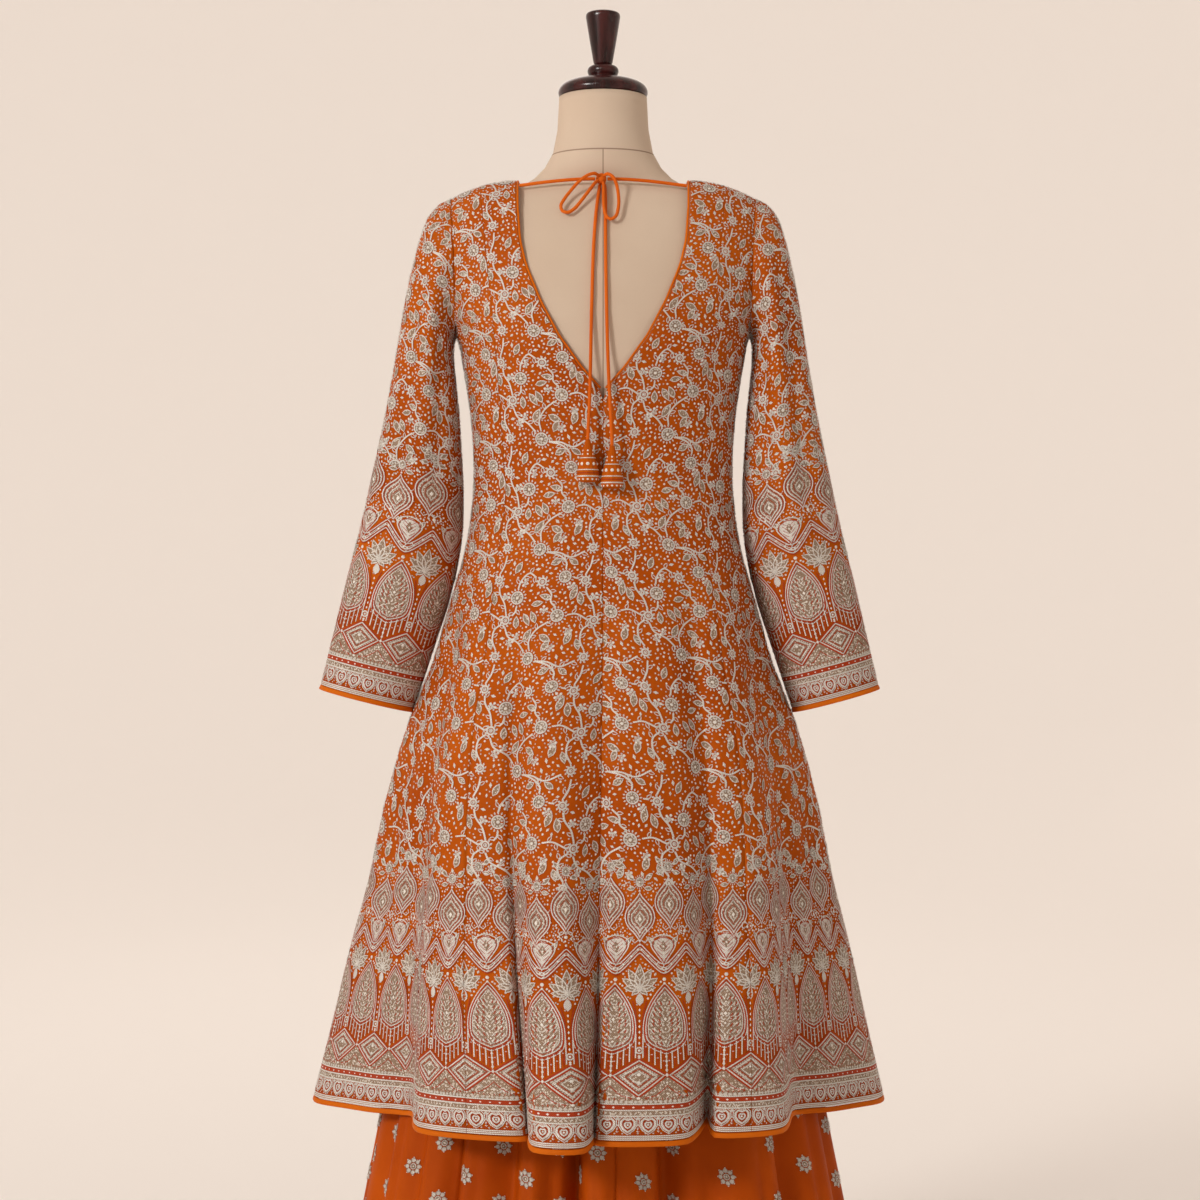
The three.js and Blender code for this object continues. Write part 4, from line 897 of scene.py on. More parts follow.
def extrude_ring(rise, across, deep):
    bpy.ops.mesh.extrude_region_move(TRANSFORM_OT_translate={"value": (0, 0, rise)})
    bpy.ops.transform.resize(value=(across, deep, 1))


def end_rings():
    bpy.ops.mesh.select_all(action="SELECT")
    bpy.ops.mesh.normals_make_consistent(inside=False)
    bpy.ops.object.mode_set(mode="OBJECT")
    bpy.ops.object.transform_apply(location=True, rotation=True, scale=True)


half, behind, before, power = form_size(form_heights[0])
form_piece = start_circle("form_cover", FORM_SIDES, MM, form_heights[0] * MM)
bpy.ops.transform.resize(value=(half, behind, 1))
last_half, last_depth = half, behind
for low, high in zip(form_heights[:-1], form_heights[1:]):
    half, behind, before, power = form_size(high)
    extrude_ring((high - low) * MM, half / last_half, behind / last_depth)
    last_half, last_depth = half, behind
end_rings()
for v in form_piece.data.vertices:
    z = v.co.z / MM
    half, behind, before, power = form_size(z)
    a = math.atan2(v.co.x / half, v.co.y / behind)
    depth = behind if math.cos(a) > 0 else before
    v.co.x = half * math.copysign(abs(math.sin(a)) ** (2 / power), math.sin(a)) * MM
    v.co.y = depth * math.copysign(abs(math.cos(a)) ** (2 / power), math.cos(a)) * MM
form_piece.data.update()
print("form rings", len(form_heights), "faces", len(form_piece.data.polygons))

# %% [markdown]
# The waistband is a straight strip round the form. It is hidden under the kurta, but the
# skirt hangs from it, so it is there.

# %% Waistband
BAND_CLEAR, BAND_WALL = 2.4, 2.0
band_heights = np.linspace(998.3, 1030, 5)
band_turns = np.linspace(0, 2 * math.pi, 96, endpoint=False)


def form_ring(z, grow):
    half, behind, before, power = form_size(z)
    depth = np.where(np.cos(band_turns) > 0, behind, before) + grow
    x = np.sign(np.sin(band_turns)) * (half + grow) * np.abs(np.sin(band_turns)) ** (2 / power)
    y = np.sign(np.cos(band_turns)) * depth * np.abs(np.cos(band_turns)) ** (2 / power)
    return np.stack([x, y, z + 0 * x], -1)


band = np.array([form_ring(z, BAND_CLEAR) for z in band_heights])
band_round, band_up = wrap_flat(band)
band_flat = np.stack([band_round[:, :-1], np.repeat(band_up[:, None], band.shape[1], 1)], -1)
band_piece = shell("waistband_cloth", band, grid_normals(band, True), BAND_WALL, True, band_flat, skirt_cloth)

# %% [markdown]
# Cap, finial, pole and base are turned wood under thick dark varnish. A turner cuts a profile
# into a spinning blank. Here a circle is extruded up the same profile, ring by ring, and a
# spline through the profile's marks gives it its round shoulders.

# %% Turned wood
def turned_piece(name, marks, sides, steps):
    """marks are the radius and height of the profile, from the bottom up, outside only."""
    line = centripetal(marks, False, [steps] * (len(marks) - 1))
    keep = np.concatenate([[True], np.linalg.norm(np.diff(line, axis=0), axis=1) > 0.02])
    line = line[keep]
    piece = start_circle(name, sides, line[0, 0] * MM, line[0, 1] * MM)
    for (r0, z0), (r1, z1) in zip(line[:-1], line[1:]):
        extrude_ring((z1 - z0) * MM, r1 / r0, r1 / r0)
    end_rings()
    deselect()
    piece.select_set(True)
    bpy.ops.object.shade_smooth_by_angle(angle=math.radians(40))
    print(name, "rings", len(line))
    return piece


CAP = [(46.5, 1477.3), (49.2, 1478.6), (50.5, 1482), (50, 1485.6), (47.6, 1489.4), (42, 1493.2), (33, 1496.2),
       (24, 1498), (18.5, 1499.4), (15.4, 1501), (16.6, 1503.4), (17.6, 1507), (16.6, 1510.6), (13.5, 1513),
               (10.5, 1513.7)]
FINIAL = [(9.2, 1514), (10.4, 1515.6), (11.2, 1519), (12.6, 1527), (14.9, 1540), (17.2, 1554), (18.8, 1564),
          (19.4, 1569), (18.6, 1571.8), (15.5, 1573.4), (9, 1574.3), (2, 1574.6)]
POLE = [(17.2, 26.4), (17.5, 27), (17.5, 200), (17.5, 400), (17.5, 600), (17.5, 769), (17.2, 769.6)]
BASE = [(196, 0), (199, 1.2), (200, 4), (200, 14), (199, 18.5), (195, 22), (188, 24.6), (181, 26)]
cap_piece = turned_piece("cap_wood", CAP, 72, 3)
finial_piece = turned_piece("finial_wood", FINIAL, 56, 3)
pole_piece = turned_piece("pole_wood", POLE, 48, 1)
base_piece = turned_piece("base_wood", BASE, 96, 2)

# %% [markdown]
# Each tail ends in a cone: a gathered round of the kurta's cloth, stuffed and closed below.
# It is modelled once, pleated round its side, and copied with its own mesh.

# %% Cones and knot
CONE = [(2.7, 0), (3.1, 1.5), (3.5, 4), (4.6, 8), (6.2, 13.5), (8.0, 20), (9.8, 26.5), (11.3, 33),
    (12.2, 37.5),
        (12.3, 41), (11.2, 44), (8, 45.8), (3, 46.4)]
CONE_GAP, CONE_PLEATS, PLEAT_DEPTH = 0.3, 14, 0.32


def cone_piece(name, x, y, top):
    line = centripetal(CONE, False, [2] * (len(CONE) - 1))
    turn = np.linspace(0, 2 * math.pi, 56, endpoint=False)
    fade = np.clip(line[:, 1] / 12, 0, 1), np.clip((46 - line[:, 1]) / 6, 0, 1)
    pleat = PLEAT_DEPTH * np.cos(CONE_PLEATS * turn)[None] * fade[0][:, None] * fade[1][:, None]
    r = np.minimum(line[:, :1] + pleat, 12.4)
    p = np.stack([x + r * np.sin(turn), y + r * np.cos(turn), top - line[:, 1:] + 0 * r], -1)[::-1]
    rows, columns = p.shape[:2]
    index = ringed_index(rows, columns)
    faces = np.stack([index[:-1, :-1], index[1:, :-1], index[1:, 1:], index[:-1, 1:]], -1).reshape(-1, 4)
    low, high = rows * columns, rows * columns + 1
    caps = [[low, index[0, c], index[0, c + 1], index[0, c + 2]] for c in range(0, columns, 2)]
    caps += [[high, index[-1, c + 2], index[-1, c + 1], index[-1, c]] for c in range(0, columns, 2)]
    points = np.vstack([p.reshape(-1, 3), [[x, y, top - 46.5]], [[x, y, top]]])
    flat_u = (turn[None] * line[::-1, :1]).ravel()
    flat_v = np.repeat(line[::-1, 1], columns)
    flat = np.vstack([np.stack([flat_u, flat_v], -1), [[0, 46.5]], [[0, 0]]])
    return mesh_object(name, points, np.vstack([faces, caps]), flat, ground_cloth)


cone_pieces = {}
for side in ("left", "right"):
    x, y, z = TIE_ROUTES["tail_" + side][-1]
    cone_pieces["tie_cone_" + side] = cone_piece(f"tie_cone_{side}_cloth", x, y, z - CONE_GAP)

deselect()
bpy.ops.mesh.primitive_uv_sphere_add(segments=32, ring_count=20, radius=KNOT_RADIUS * MM,
        location=[c * MM for c in KNOT])
knot_piece = bpy.context.active_object
knot_piece.name = "tie_knot_cloth"
bpy.ops.object.mode_set(mode="EDIT")
bpy.ops.mesh.select_all(action="SELECT")
bpy.ops.transform.resize(value=(0.95, 0.96, 1.0))
bpy.ops.object.mode_set(mode="OBJECT")
bpy.ops.object.transform_apply(location=True, rotation=True, scale=True)
for v in knot_piece.data.vertices:
    off = v.co - Vector(KNOT) * MM
    turn = math.atan2(off.z, off.x)
    wrap = math.cos(3 * turn + 900 * off.y) * (1 - min(1, (abs(off.y) / (KNOT_RADIUS * MM)) ** 2) * 0.5)
    v.co = Vector(KNOT) * MM + off * (0.93 + 0.05 * wrap)
knot_piece.data.materials.append(cord_cloth)
for face in knot_piece.data.polygons:
    face.use_smooth = True

# %% [markdown]
# The kurta is covered with zari work: metal thread couched on the cloth, with beads. It is
# drawn here the way a karigar lays it out, on flat paper, in millimetres, and then laid on
# the made up cloth. A motif is a set of small flat pieces: ribbons of thread, filled patches,
# and domes for beads. Each point has an anchor, which follows the cloth's stretch, and an
# offset from it, which keeps the motif's real size.

# %% Threads
SILVER, GOLD, RUST, BEAD = range(4)


class Motif:
    """Small raised pieces on flat paper: anchor, offset, height, thread direction, finish."""

    def __init__(self):
        self.anchor, self.offset, self.lift, self.flat, self.tris, self.finish = [], [], [], [], [], []
        self.count = 0

    def add(self, finish, points, lift, tris, flat, anchor=None):
        points = np.asarray(points, float)
        tris = np.asarray(tris, int)
        if anchor is None:
            self.anchor.append(points)
            self.offset.append(np.zeros_like(points))
        else:
            self.anchor.append(np.repeat(np.asarray(anchor, float)[None], len(points), 0))
            self.offset.append(points - np.asarray(anchor, float))
        self.lift.append(np.broadcast_to(np.asarray(lift, float), len(points)))
        self.flat.append(np.asarray(flat, float))
        self.tris.append(tris + self.count)
        self.finish.append(np.full(len(tris), finish))
        self.count += len(points)

    def ribbon(self, finish, line, width, lift=0.6, closed=False, anchor=None):
        line = np.asarray(line, float)
        if closed:
            along = np.roll(line, -1, 0) - np.roll(line, 1, 0)
        else:
            along = np.gradient(line, axis=0)
        side = unit(np.stack([-along[:, 1], along[:, 0]], -1)) * width / 2
        points = np.concatenate([line + side, line - side])
        n = len(line)
        a = np.arange(n if closed else n - 1)
        b = (a + 1) % n
        tris = np.concatenate([np.stack([a, n + a, n + b], -1), np.stack([a, n + b, b], -1)])
        reach = reach_along(line)
        flat = np.concatenate([np.stack([reach, 0 * reach], -1), np.stack([reach, 0 * reach + width], -1)])
        self.add(finish, points, lift, tris, flat, anchor)

    def dome(self, finish, x, y, r, sides=6, lift=1.0, anchor=None, squash=1.0, turn=0.0):
        a = np.linspace(0, 2 * math.pi, sides, endpoint=False) + turn
        ring = np.stack([x + r * np.cos(a), y + r * squash * np.sin(a)], -1)
        k = np.arange(sides)
        self.add(finish, np.vstack([[[x, y]], ring]), [lift] + [0.15] * sides,
                 np.stack([0 * k, k + 1, (k + 1) % sides + 1], -1), np.vstack([[[0, 0]], ring]),
                     anchor or (x, y))

    def lozenge(self, finish, x, y, degrees, long, wide, lift=0.9, anchor=None):
        c, s = heading(degrees)
        ends = [(long / 2, 0), (0, wide / 2), (-long / 2, 0), (0, -wide / 2)]
        ring = [(x + a * c - b * s, y + a * s + b * c) for a, b in ends]
        self.add(finish, [(x, y)] + ring, [lift] + [0.2] * 4, [(0, 1, 2), (0, 2, 3), (0, 3, 4), (0, 4, 1)],
                 [(0, 0)] + ends, anchor or (x, y))

    def patch(self, finish, ts, halves, place, columns=2, lift=0.35, anchor=None):
        """Fills between -half and +half at each t. place turns (across, t) into a point."""
        points, flat = [], []
        for t, half in zip(ts, halves):
            for c in np.linspace(-half, half, columns + 1):
                points.append(place(c, t))
                flat.append((c, t))
        self.add(finish, points, lift, grid_tris(len(ts), columns + 1), flat, anchor)

    def petal(self, x, y, degrees, long, wide, outline=SILVER, fill=GOLD, thread=1.1, steps=4, anchor=None):
        """A leaf from its foot at x, y: a filled patch inside an outline."""
        c, s = heading(degrees)
        ts = np.linspace(0, 1, steps + 1)
        half = wide / 2 * np.sin(math.pi * ts ** 0.85)

        def place(across, t):
            return (x + t * c - across * s, y + t * s + across * c)

        if fill is not None:
            self.patch(fill, ts * long, half * 0.9, place, 1, 0.35, anchor or (x, y))
        line = [place(h, t * long) for t, h in zip(ts, half)]
        line += [place(-h, t * long) for t, h in zip(ts[-2:0:-1], half[-2:0:-1])]
        self.ribbon(outline, line, thread, 0.55, True, anchor or (x, y))

    def ring(self, finish, x, y, r, thread, sides=12, lift=0.6):
        a = np.linspace(0, 2 * math.pi, sides, endpoint=False)
        self.ribbon(finish, np.stack([x + r * np.cos(a), y + r * np.sin(a)], -1), thread, lift, True, (x, y))

    def pack(self):
        return (np.concatenate(self.anchor), np.concatenate(self.offset), np.concatenate(self.lift),
                np.concatenate(self.flat), np.concatenate(self.tris), np.concatenate(self.finish))


def thread_material(name, deep, light, roughness, metal, speckle=None):
    """Couched thread: fine ridges across the line, with a soft metal shine."""
    material, tree, shader = new_material(name, {
        "Roughness": roughness, "Metallic": metal, "Specular IOR Level": 0.25})
    flat = node(tree, "ShaderNodeUVMap", uv_map="flat").outputs["UV"]
    ridges = thread_bands(tree, flat, "DIAGONAL", 0.0009, 2.0, 2)
    colour = mixed(tree, ridges, deep, light)
    if speckle:
        dots = node(tree, "ShaderNodeTexVoronoi", {"Scale": 420, "Vector": object_place(tree)}, feature="F1")
        near = node(tree, "ShaderNodeMapRange", {
            "From Min": 0.42, "From Max": 0.25, "Value": dots.outputs["Distance"]})
        colour = mixed(tree, near.outputs["Result"], colour, speckle)
    feed(shader, {"Base Color": colour})
    bumped(tree, shader, ridges, 0.5)
    return material


threads = [
    thread_material("silver zari", shade(188, 178, 168), shade(242, 236, 228), 0.45, 0.15),
    thread_material("beige gold zari", shade(112, 84, 64), shade(178, 152, 128), 0.5, 0.12,
        shade(226, 214, 200)),
    thread_material("rust silk thread", shade(146, 42, 6), shade(190, 64, 12), 0.55, 0.0),
    thread_material("white beads", shade(238, 230, 220), shade(252, 247, 240), 0.25, 0.0),
]

# %% [markdown]
# To lay flat work on a panel, the panel needs a map: from how far up the cloth and how far
# across it, to a place on the folded surface and the way it faces.

# %% From flat paper to the folded cloth
LEVEL_ROWS = 64


def level_rows(p, n):
    """A sleeve in rows that keep one distance from the cuff, and each column's whole length."""
    steps = np.linalg.norm(np.diff(p, axis=0), axis=2)
    reach = np.concatenate([np.zeros((1, p.shape[1])), np.cumsum(steps, 0)])
    heights = np.linspace(0, reach[-1].max(), LEVEL_ROWS)

    def moved(a):
        columns = [[np.interp(heights, reach[:, c], a[:, c, axis]) for axis in range(3)]
            for c in range(a.shape[1])]
        return np.array(columns).transpose(2, 0, 1)

    return moved(p), unit(moved(n)), reach[-1]


class Chart:
    def __init__(self, p, n, wraps, keep):
        self.last = np.full(p.shape[1], 1e9)
        if wraps:
            p, n = (np.concatenate([a, a[:, :1]], 1) for a in (p, n))
            p, n, self.last = level_rows(p, n)
        self.p, self.n = p, n
        self.arc, self.up = flat_lengths(p)
        if wraps:
            self.up = np.linspace(0, self.last.max(), len(p))
        self.width = np.maximum(self.arc[:, -1], 1)
        self.keep = keep

    def wide(self, v):
        return np.interp(v, self.up, self.width)

    def surface(self, share, v):
        rows, columns = self.p.shape[:2]
        r = np.clip(np.interp(v, self.up, np.arange(rows)), 0, rows - 1.0001)
        r0 = r.astype(int)
        f = (r - r0)[:, None]
        col = np.zeros(len(v))
        places = np.arange(columns)
        for row in np.unique(r0):
            here = r0 == row
            low = np.interp(share[here], self.arc[row] / self.width[row], places)
            high = np.interp(share[here], self.arc[row + 1] / self.width[row + 1], places)
            col[here] = low + (high - low) * f[here, 0]
        c0 = np.clip(col.astype(int), 0, columns - 2)
        g = (col - c0)[:, None]

        def mixed(a):
            low = a[r0, c0] * (1 - g) + a[r0, c0 + 1] * g
            high = a[r0 + 1, c0] * (1 - g) + a[r0 + 1, c0 + 1] * g
            return low * (1 - f) + high * f

        over = v > np.interp(col, places, self.last) - 0.8
        return mixed(self.p), unit(mixed(self.n)), over


WORK_LIFT = 0.25  # keeps the work clear of the cloth where that bulges between the work's points


class Layer:
    """All the work laid on one piece of cloth, gathered as share, height and lift."""

    def __init__(self, chart):
        self.chart = chart
        self.parts = []
        self.count = 0

    def lay(self, share, v, lift, flat, tris, finish, v_range):
        """Cuts the work at the panel's edges, where the seam takes it."""
        edge = self.chart.keep / self.chart.wide(v)
        middle, height = share[tris].mean(1), v[tris].mean(1)
        rim = self.chart.keep / self.chart.wide(height)
        shown = (middle > rim) & (middle < 1 - rim) & (height > v_range[0]) & (height < v_range[1])
        tris, finish = tris[shown], finish[shown]
        used, tris = np.unique(tris, return_inverse=True)
        tris = tris.reshape(-1, 3)
        share, v = np.clip(share[used], edge[used], 1 - edge[used]), np.clip(v[used], *v_range)
        self.parts.append((share, v, lift[used], flat[used], tris + self.count, finish))
        self.count += len(used)

    def stretched(self, motif, xs, ys, pull, reference, v_range):
        """Copies a motif to each x, y. Anchors follow the panel's stretch, offsets don't."""
        anchor, offset, lift, flat, tris, finish = motif
        for x, y in zip(xs, ys):
            v = np.clip(anchor[:, 1] + y, self.chart.up[0], self.chart.up[-1])
            u = (anchor[:, 0] + x) * pull(v) + offset[:, 0]
            v = v + offset[:, 1]
            share = reference - u / self.chart.wide(v) if reference else -u / self.chart.wide(v)
            self.lay(share, v, lift, flat, tris, finish, v_range)

    def shared(self, motif, xs, pitch_share, paper, v_range, y=0.0):
        """Copies a motif round the panel. The whole motif narrows with the flare."""
        anchor, offset, lift, flat, tris, finish = motif
        for x in xs:
            share = x + (anchor[:, 0] + offset[:, 0]) / paper * pitch_share
            self.lay(share, anchor[:, 1] + offset[:, 1] + y, lift, flat, tris, finish, v_range)

    def make(self, name):
        share, v, lift, flat, tris, finish = (np.concatenate(a) for a in zip(*self.parts))
        place, facing, over = self.chart.surface(share, v)
        kept = ~over[tris].all(1)
        tris, finish = tris[kept], finish[kept]
        points = place + facing * (lift[:, None] + WORK_LIFT)
        a, b, c = points[tris[:, 0]], points[tris[:, 1]], points[tris[:, 2]]
        normal = np.cross(b - a, c - a)
        size = np.linalg.norm(normal, axis=1)
        solid = size > 1e-4
        tris, finish, normal = tris[solid], finish[solid], normal[solid]
        inward = (normal * facing[tris[:, 0]]).sum(1) < 0
        tris[inward] = tris[inward][:, ::-1]
        return mesh_object(name, points, tris, flat, threads, finish)


# %% [markdown]
# The field of the kurta is a jaal, a net of vines with round flowers. One repeat is 93 mm by
# 123 mm. Vines join the flowers and run on into the next repeat. Small beads fill the ground,
# scattered by a seeded draw that keeps them apart and off the flowers.

# %% One repeat of the flower field
JAAL_WIDE, JAAL_TALL = 93.0, 123.0
ROSETTES = [(74, 60, 10.4), (48, 12, 10.2), (78, 104, 9.8), (29, 80, 10.6)]
RING_FLOWERS = [(18, 55, 7.8), (11, 14, 7.0), (6, 100, 7.2), (55, 98, 7.8)]
VINES = [
    [(48, 22), (47, 32), (54, 44), (66, 53)], [(29, 90), (32, 100), (40, 108), (48, 103)],
    [(60, 92), (66, 84), (66, 76), (72, 69)], [(18, 47), (22, 37), (33, 30), (42, 20)],
    [(18, 62), (15, 74), (9, 84), (7, 93)], [(84, 61), (93, 62), (102, 57), (105, 55)],
    [(29, 70), (28, 64), (25, 60)], [(11, 21), (6, 32), (7, 44), (13, 50)],
    [(57, 9), (70, 8), (82, 3), (96, 10)], [(78, 113), (78, 120), (70, 128), (56, 132)],
    [(6, 107), (10, 116), (12, 128)], [(87, 103), (92, 102)],
]
LEAVES = [  # foot, way it points, length, width
    (40, 31, 58, 15, 6), (58, 38, -28, 14, 6), (52, 52, 118, 13, 5.5), (86, 78, 74, 15, 6),
        (62, 20, 62, 13, 5.5),
    (24, 108, 64, 13, 5.5), (38, 62, -58, 14, 5.5), (4, 72, 104, 14, 6), (62, 118, 28, 12, 5.5),
        (30, 46, 92, 12, 5.5),
    (84, 28, 70, 14, 6), (66, 80, 168, 12, 5), (2, 34, -70, 12, 5), (90, 118, 148, 11, 5),
        (46, 72, 14, 12, 5),
]
SPRAYS = [  # foot, way it points: three short stems of beads
    (34, 34, 150), (60, 62, 96), (14, 78, 58), (84, 46, -52), (40, 96, 166), (68, 26, -34), (20, 28, 22),
        (88, 90, 128),
]


def rosette(motif, x, y, r):
    motif.dome(GOLD, x, y, r * 0.72, 14, 0.4)
    motif.ring(SILVER, x, y, r * 0.64, r * 0.15, 14, 0.9)
    for share, count, long, wide, turn in ((0.92, 16, 0.34, 0.2, 0), (0.42, 9, 0.26, 0.22, 9)):
        for k in range(count):
            a = 360 / count * (k + turn / 20)
            c, s = heading(a)
            motif.lozenge(SILVER, x + r * share * c, y + r * share * s, a, r * long, r * wide, 1.0, (x, y))
    motif.dome(BEAD, x, y, r * 0.2, 6, 1.6)


def ring_flower(motif, x, y, r):
    motif.ring(SILVER, x, y, r * 0.54, 1.9, 12, 0.9)
    motif.ring(SILVER, x, y, r * 0.24, 1.0, 8, 0.9)
    motif.dome(BEAD, x, y, r * 0.14, 6, 1.4)
    for k in range(9):
        c, s = heading(40 * k + 12)
        at = (x + r * 0.82 * c, y + r * 0.82 * s)
        motif.lozenge(SILVER, *at, 40 * k + 47, r * 0.54, r * 0.32, 0.9, (x, y))


def spray(motif, x, y, degrees):
    for off, long in ((-32, 6.5), (0, 8.5), (32, 6.5)):
        a = math.radians(degrees + off)
        tip = (x + long * math.cos(a), y + long * math.sin(a))
        motif.ribbon(SILVER, [(x, y), ((x + tip[0]) / 2, (y + tip[1]) / 2), tip], 0.8, 0.5, False, (x, y))
        motif.dome(BEAD, *tip, 1.6, 6, 1.2, (x, y))
        for side in (-1, 1):
            motif.dome(SILVER, x + long * 0.62 * math.cos(a) - side * 1.9 * math.sin(a),
                       y + long * 0.62 * math.sin(a) + side * 1.9 * math.cos(a), 1.2, 5, 1.0, (x, y))


jaal = Motif()
for x, y, r in ROSETTES:
    rosette(jaal, x, y, r)
for x, y, r in RING_FLOWERS:
    ring_flower(jaal, x, y, r)
taken = [(x, y, r + 1.6) for x, y, r in ROSETTES] + [(x, y, r + 1.2) for x, y, r in RING_FLOWERS]
for vine in VINES:
    line = centripetal(vine, False, [4] * (len(vine) - 1))
    jaal.ribbon(SILVER, line, 1.7, 0.7)
    for (x, y), (dx, dy), way in zip(line[2:-1:3], np.gradient(line, axis=0)[2:-1:3], [1, -1] * 9):
        degrees = math.degrees(math.atan2(dy, dx)) + 48 * way
        c, s = heading(degrees)
        jaal.petal(x + 0.8 * c, y + 0.8 * s, degrees, 6.6, 3.4, SILVER, None, 1.0, 3)
        taken.append((x + 4 * c, y + 4 * s, 2.6))
for x, y, degrees, long, wide in LEAVES:
    jaal.petal(x, y, degrees, long * 1.1, wide * 1.2)
for x, y, degrees in SPRAYS:
    spray(jaal, x, y, degrees)

draw = np.random.default_rng(7)
for vine in VINES:
    taken += [(x, y, 1.9) for x, y in centripetal(vine, False, [4] * (len(vine) - 1))]
for x, y, degrees, long, wide in LEAVES:
    c, s = heading(degrees)
    for t, w in ((0.15, 0.3), (0.45, 0.5), (0.8, 0.35)):
        taken.append((x + long * t * c, y + long * t * s, wide * w + 1.5))
for x, y, degrees in SPRAYS:
    c, s = heading(degrees)
    taken.append((x + 5.5 * c, y + 5.5 * s, 5.2))
scattered = 0
for _ in range(6000):
    x, y = draw.uniform(0, JAAL_WIDE), draw.uniform(0, JAAL_TALL)
    r = draw.choice([1.2, 1.6, 2.2, 2.8])
    near = False
    for tx, ty, tr in taken:
        dx = abs(x - tx) % JAAL_WIDE
        dy = abs(y - ty) % JAAL_TALL
        if math.hypot(min(dx, JAAL_WIDE - dx), min(dy, JAAL_TALL - dy)) < tr + r:
            near = True
            break
    if near:
        continue
    taken.append((x, y, r + 0.8))
    scattered += 1
    if r > 1.7:
        jaal.lozenge(SILVER, x, y, draw.uniform(0, 180), r * 2.3, r * 1.3, 1.0)
    else:
        jaal.dome(BEAD if r > 1.4 else SILVER, x, y, r * 0.85, 5, 1.1)
jaal = jaal.pack()
print("flower field:", scattered, "beads,", len(jaal[4]), "triangles a repeat")

# %% [markdown]
# The deep border is a stack of bands. From the hem up: three ropes of thread, a row of small
# hearts, a beaded line, a lattice of diamonds, tall pointed medallions, a zigzag band, and
# drops of two heights. It is set out on a strip 48 mm wide, once on the line of a medallion
# and once on the gap between two, and the cloth's flare narrows it towards the top.

# %% Shapes in the border
PITCH = 48.0
MEDALLION = [(0, 0), (0.04, 0.34), (0.1, 0.7), (0.18, 0.93), (0.3, 1), (0.45, 0.985), (0.6, 0.87),
        (0.75, 0.64), (0.88, 0.35), (1, 0)]
DROP = [(0, 0), (0.08, 0.12), (0.2, 0.42), (0.35, 0.85), (0.5, 1), (0.65, 0.9), (0.8, 0.5), (0.92, 0.15),
        (1, 0)]
BUD = [(0, 0), (0.15, 0.22), (0.35, 0.55), (0.55, 0.88), (0.72, 1), (0.85, 0.9), (0.95, 0.5), (1, 0.12)]


def profile_line(profile, x, low, tall, half, share=1.0, steps=2):
    """A closed outline from a table of height and half width shares, shrunk about its middle."""
    t, w = np.array(profile, float).T
    side = centripetal(np.stack([w * half, t * tall], -1), False, [steps] * (len(t) - 1))
    side[:, 0] = np.maximum(side[:, 0], 0)
    line = np.concatenate([side, (side * [-1, 1])[-2:0:-1]])
    middle = np.array([0, tall * 0.46])
    return (line - middle) * share + middle + [x, low]


def profile_fill(motif, finish, profile, x, low, tall, half, share, rows, columns, lift=0.3):
    t, w = np.array(profile, float).T
    ts = np.linspace(0.01, 0.99, rows)
    halves = np.clip(np.interp(ts, t, w), 0.02, 1) * half * share
    ys = (ts * tall - tall * 0.46) * share + tall * 0.46 + low
    motif.patch(finish, ys, halves, lambda c, y: (x + c, y), columns, lift)


def band(motif, finish, low, high, left, right, rows, columns, lift=0.28):
    """Fills between two edges. left and right give an edge at a height, or are fixed."""
    ys = np.linspace(low, high, rows + 1)
    points = []
    for y in ys:
        a = left(y) if callable(left) else left
        b = right(y) if callable(right) else right
        points += [(x, y) for x in np.linspace(a, b, columns + 1)]
    motif.add(finish, points, lift, grid_tris(rows + 1, columns + 1), points)


def straight(a, b, step=5.0):
    count = max(1, round(math.dist(a, b) / step))
    return np.linspace(a, b, count + 1)


def path(*corners, step=5.0):
    pieces = [straight(a, b, step)[:-1] for a, b in zip(corners[:-1], corners[1:])]
    return np.concatenate(pieces + [[corners[-1]]])


# %% The strip on a medallion's line
HALF = PITCH / 2
spine = Motif()


def rope(y, wide=1.3, finish=SILVER, lift=0.7):
    spine.ribbon(finish, path((-HALF, y), (HALF, y), step=6), wide, lift)


band(spine, GOLD, 23.6, 31, -HALF, HALF, 2, 8)
band(spine, GOLD, 35.8, 41, -HALF, HALF, 1, 8)
for y in (0.9, 2.7, 4.5):
    rope(y, 1.25)
for k in range(8):
    spine.lozenge(RUST, -HALF + 3 + 6 * k, 7.0, 0, 4.2, 1.6, 0.7)
    spine.dome(SILVER, -HALF + 6 * k, 7.2, 0.8, 5, 0.9)
for x in (-16, 0, 16):
    heart = [(x, 8.6), (x + 3.4, 11.5), (x + 5.4, 15.4), (x + 5.2, 19.4), (x + 3, 22), (x, 20.6),
             (x - 3, 22), (x - 5.2, 19.4), (x - 5.4, 15.4), (x - 3.4, 11.5)]
    middle = np.array([x, 15.6])
    for share, finish, thread, lift in ((1.0, SILVER, 1.9, 0.9), (0.72, RUST, 0.9, 0.65),
            (0.44, SILVER, 1.5, 0.9), (1.34, SILVER, 0.8, 0.7)):
        spine.ribbon(finish, (np.array(heart) - middle) * share + middle, thread, lift, True)
    spine.dome(BEAD, x, 15.8, 1.0, 6, 1.2)
    spine.ribbon(RUST, [(x + 8, 9), (x + 6.9, 12.5), (x + 7.1, 17), (x + 8, 20.5)], 1.1, 0.6)
    spine.dome(SILVER, x + 8, 22.0, 1.7, 6, 1.0)
    for up, wide in ((9.4, 2.6), (12.4, 1.9), (15.4, 1.7)):
        spine.lozenge(SILVER, x + 8, up, 90, wide, wide * 0.9, 0.9)
    spine.dome(SILVER, x + 8, 11.6, 0.9, 5, 0.9)
rope(24.4, 1.5)
for k in range(12):
    spine.lozenge(SILVER, -HALF + 2 + 4 * k, 27.2, 55 if k % 2 else -55, 3.6, 1.5, 0.8)
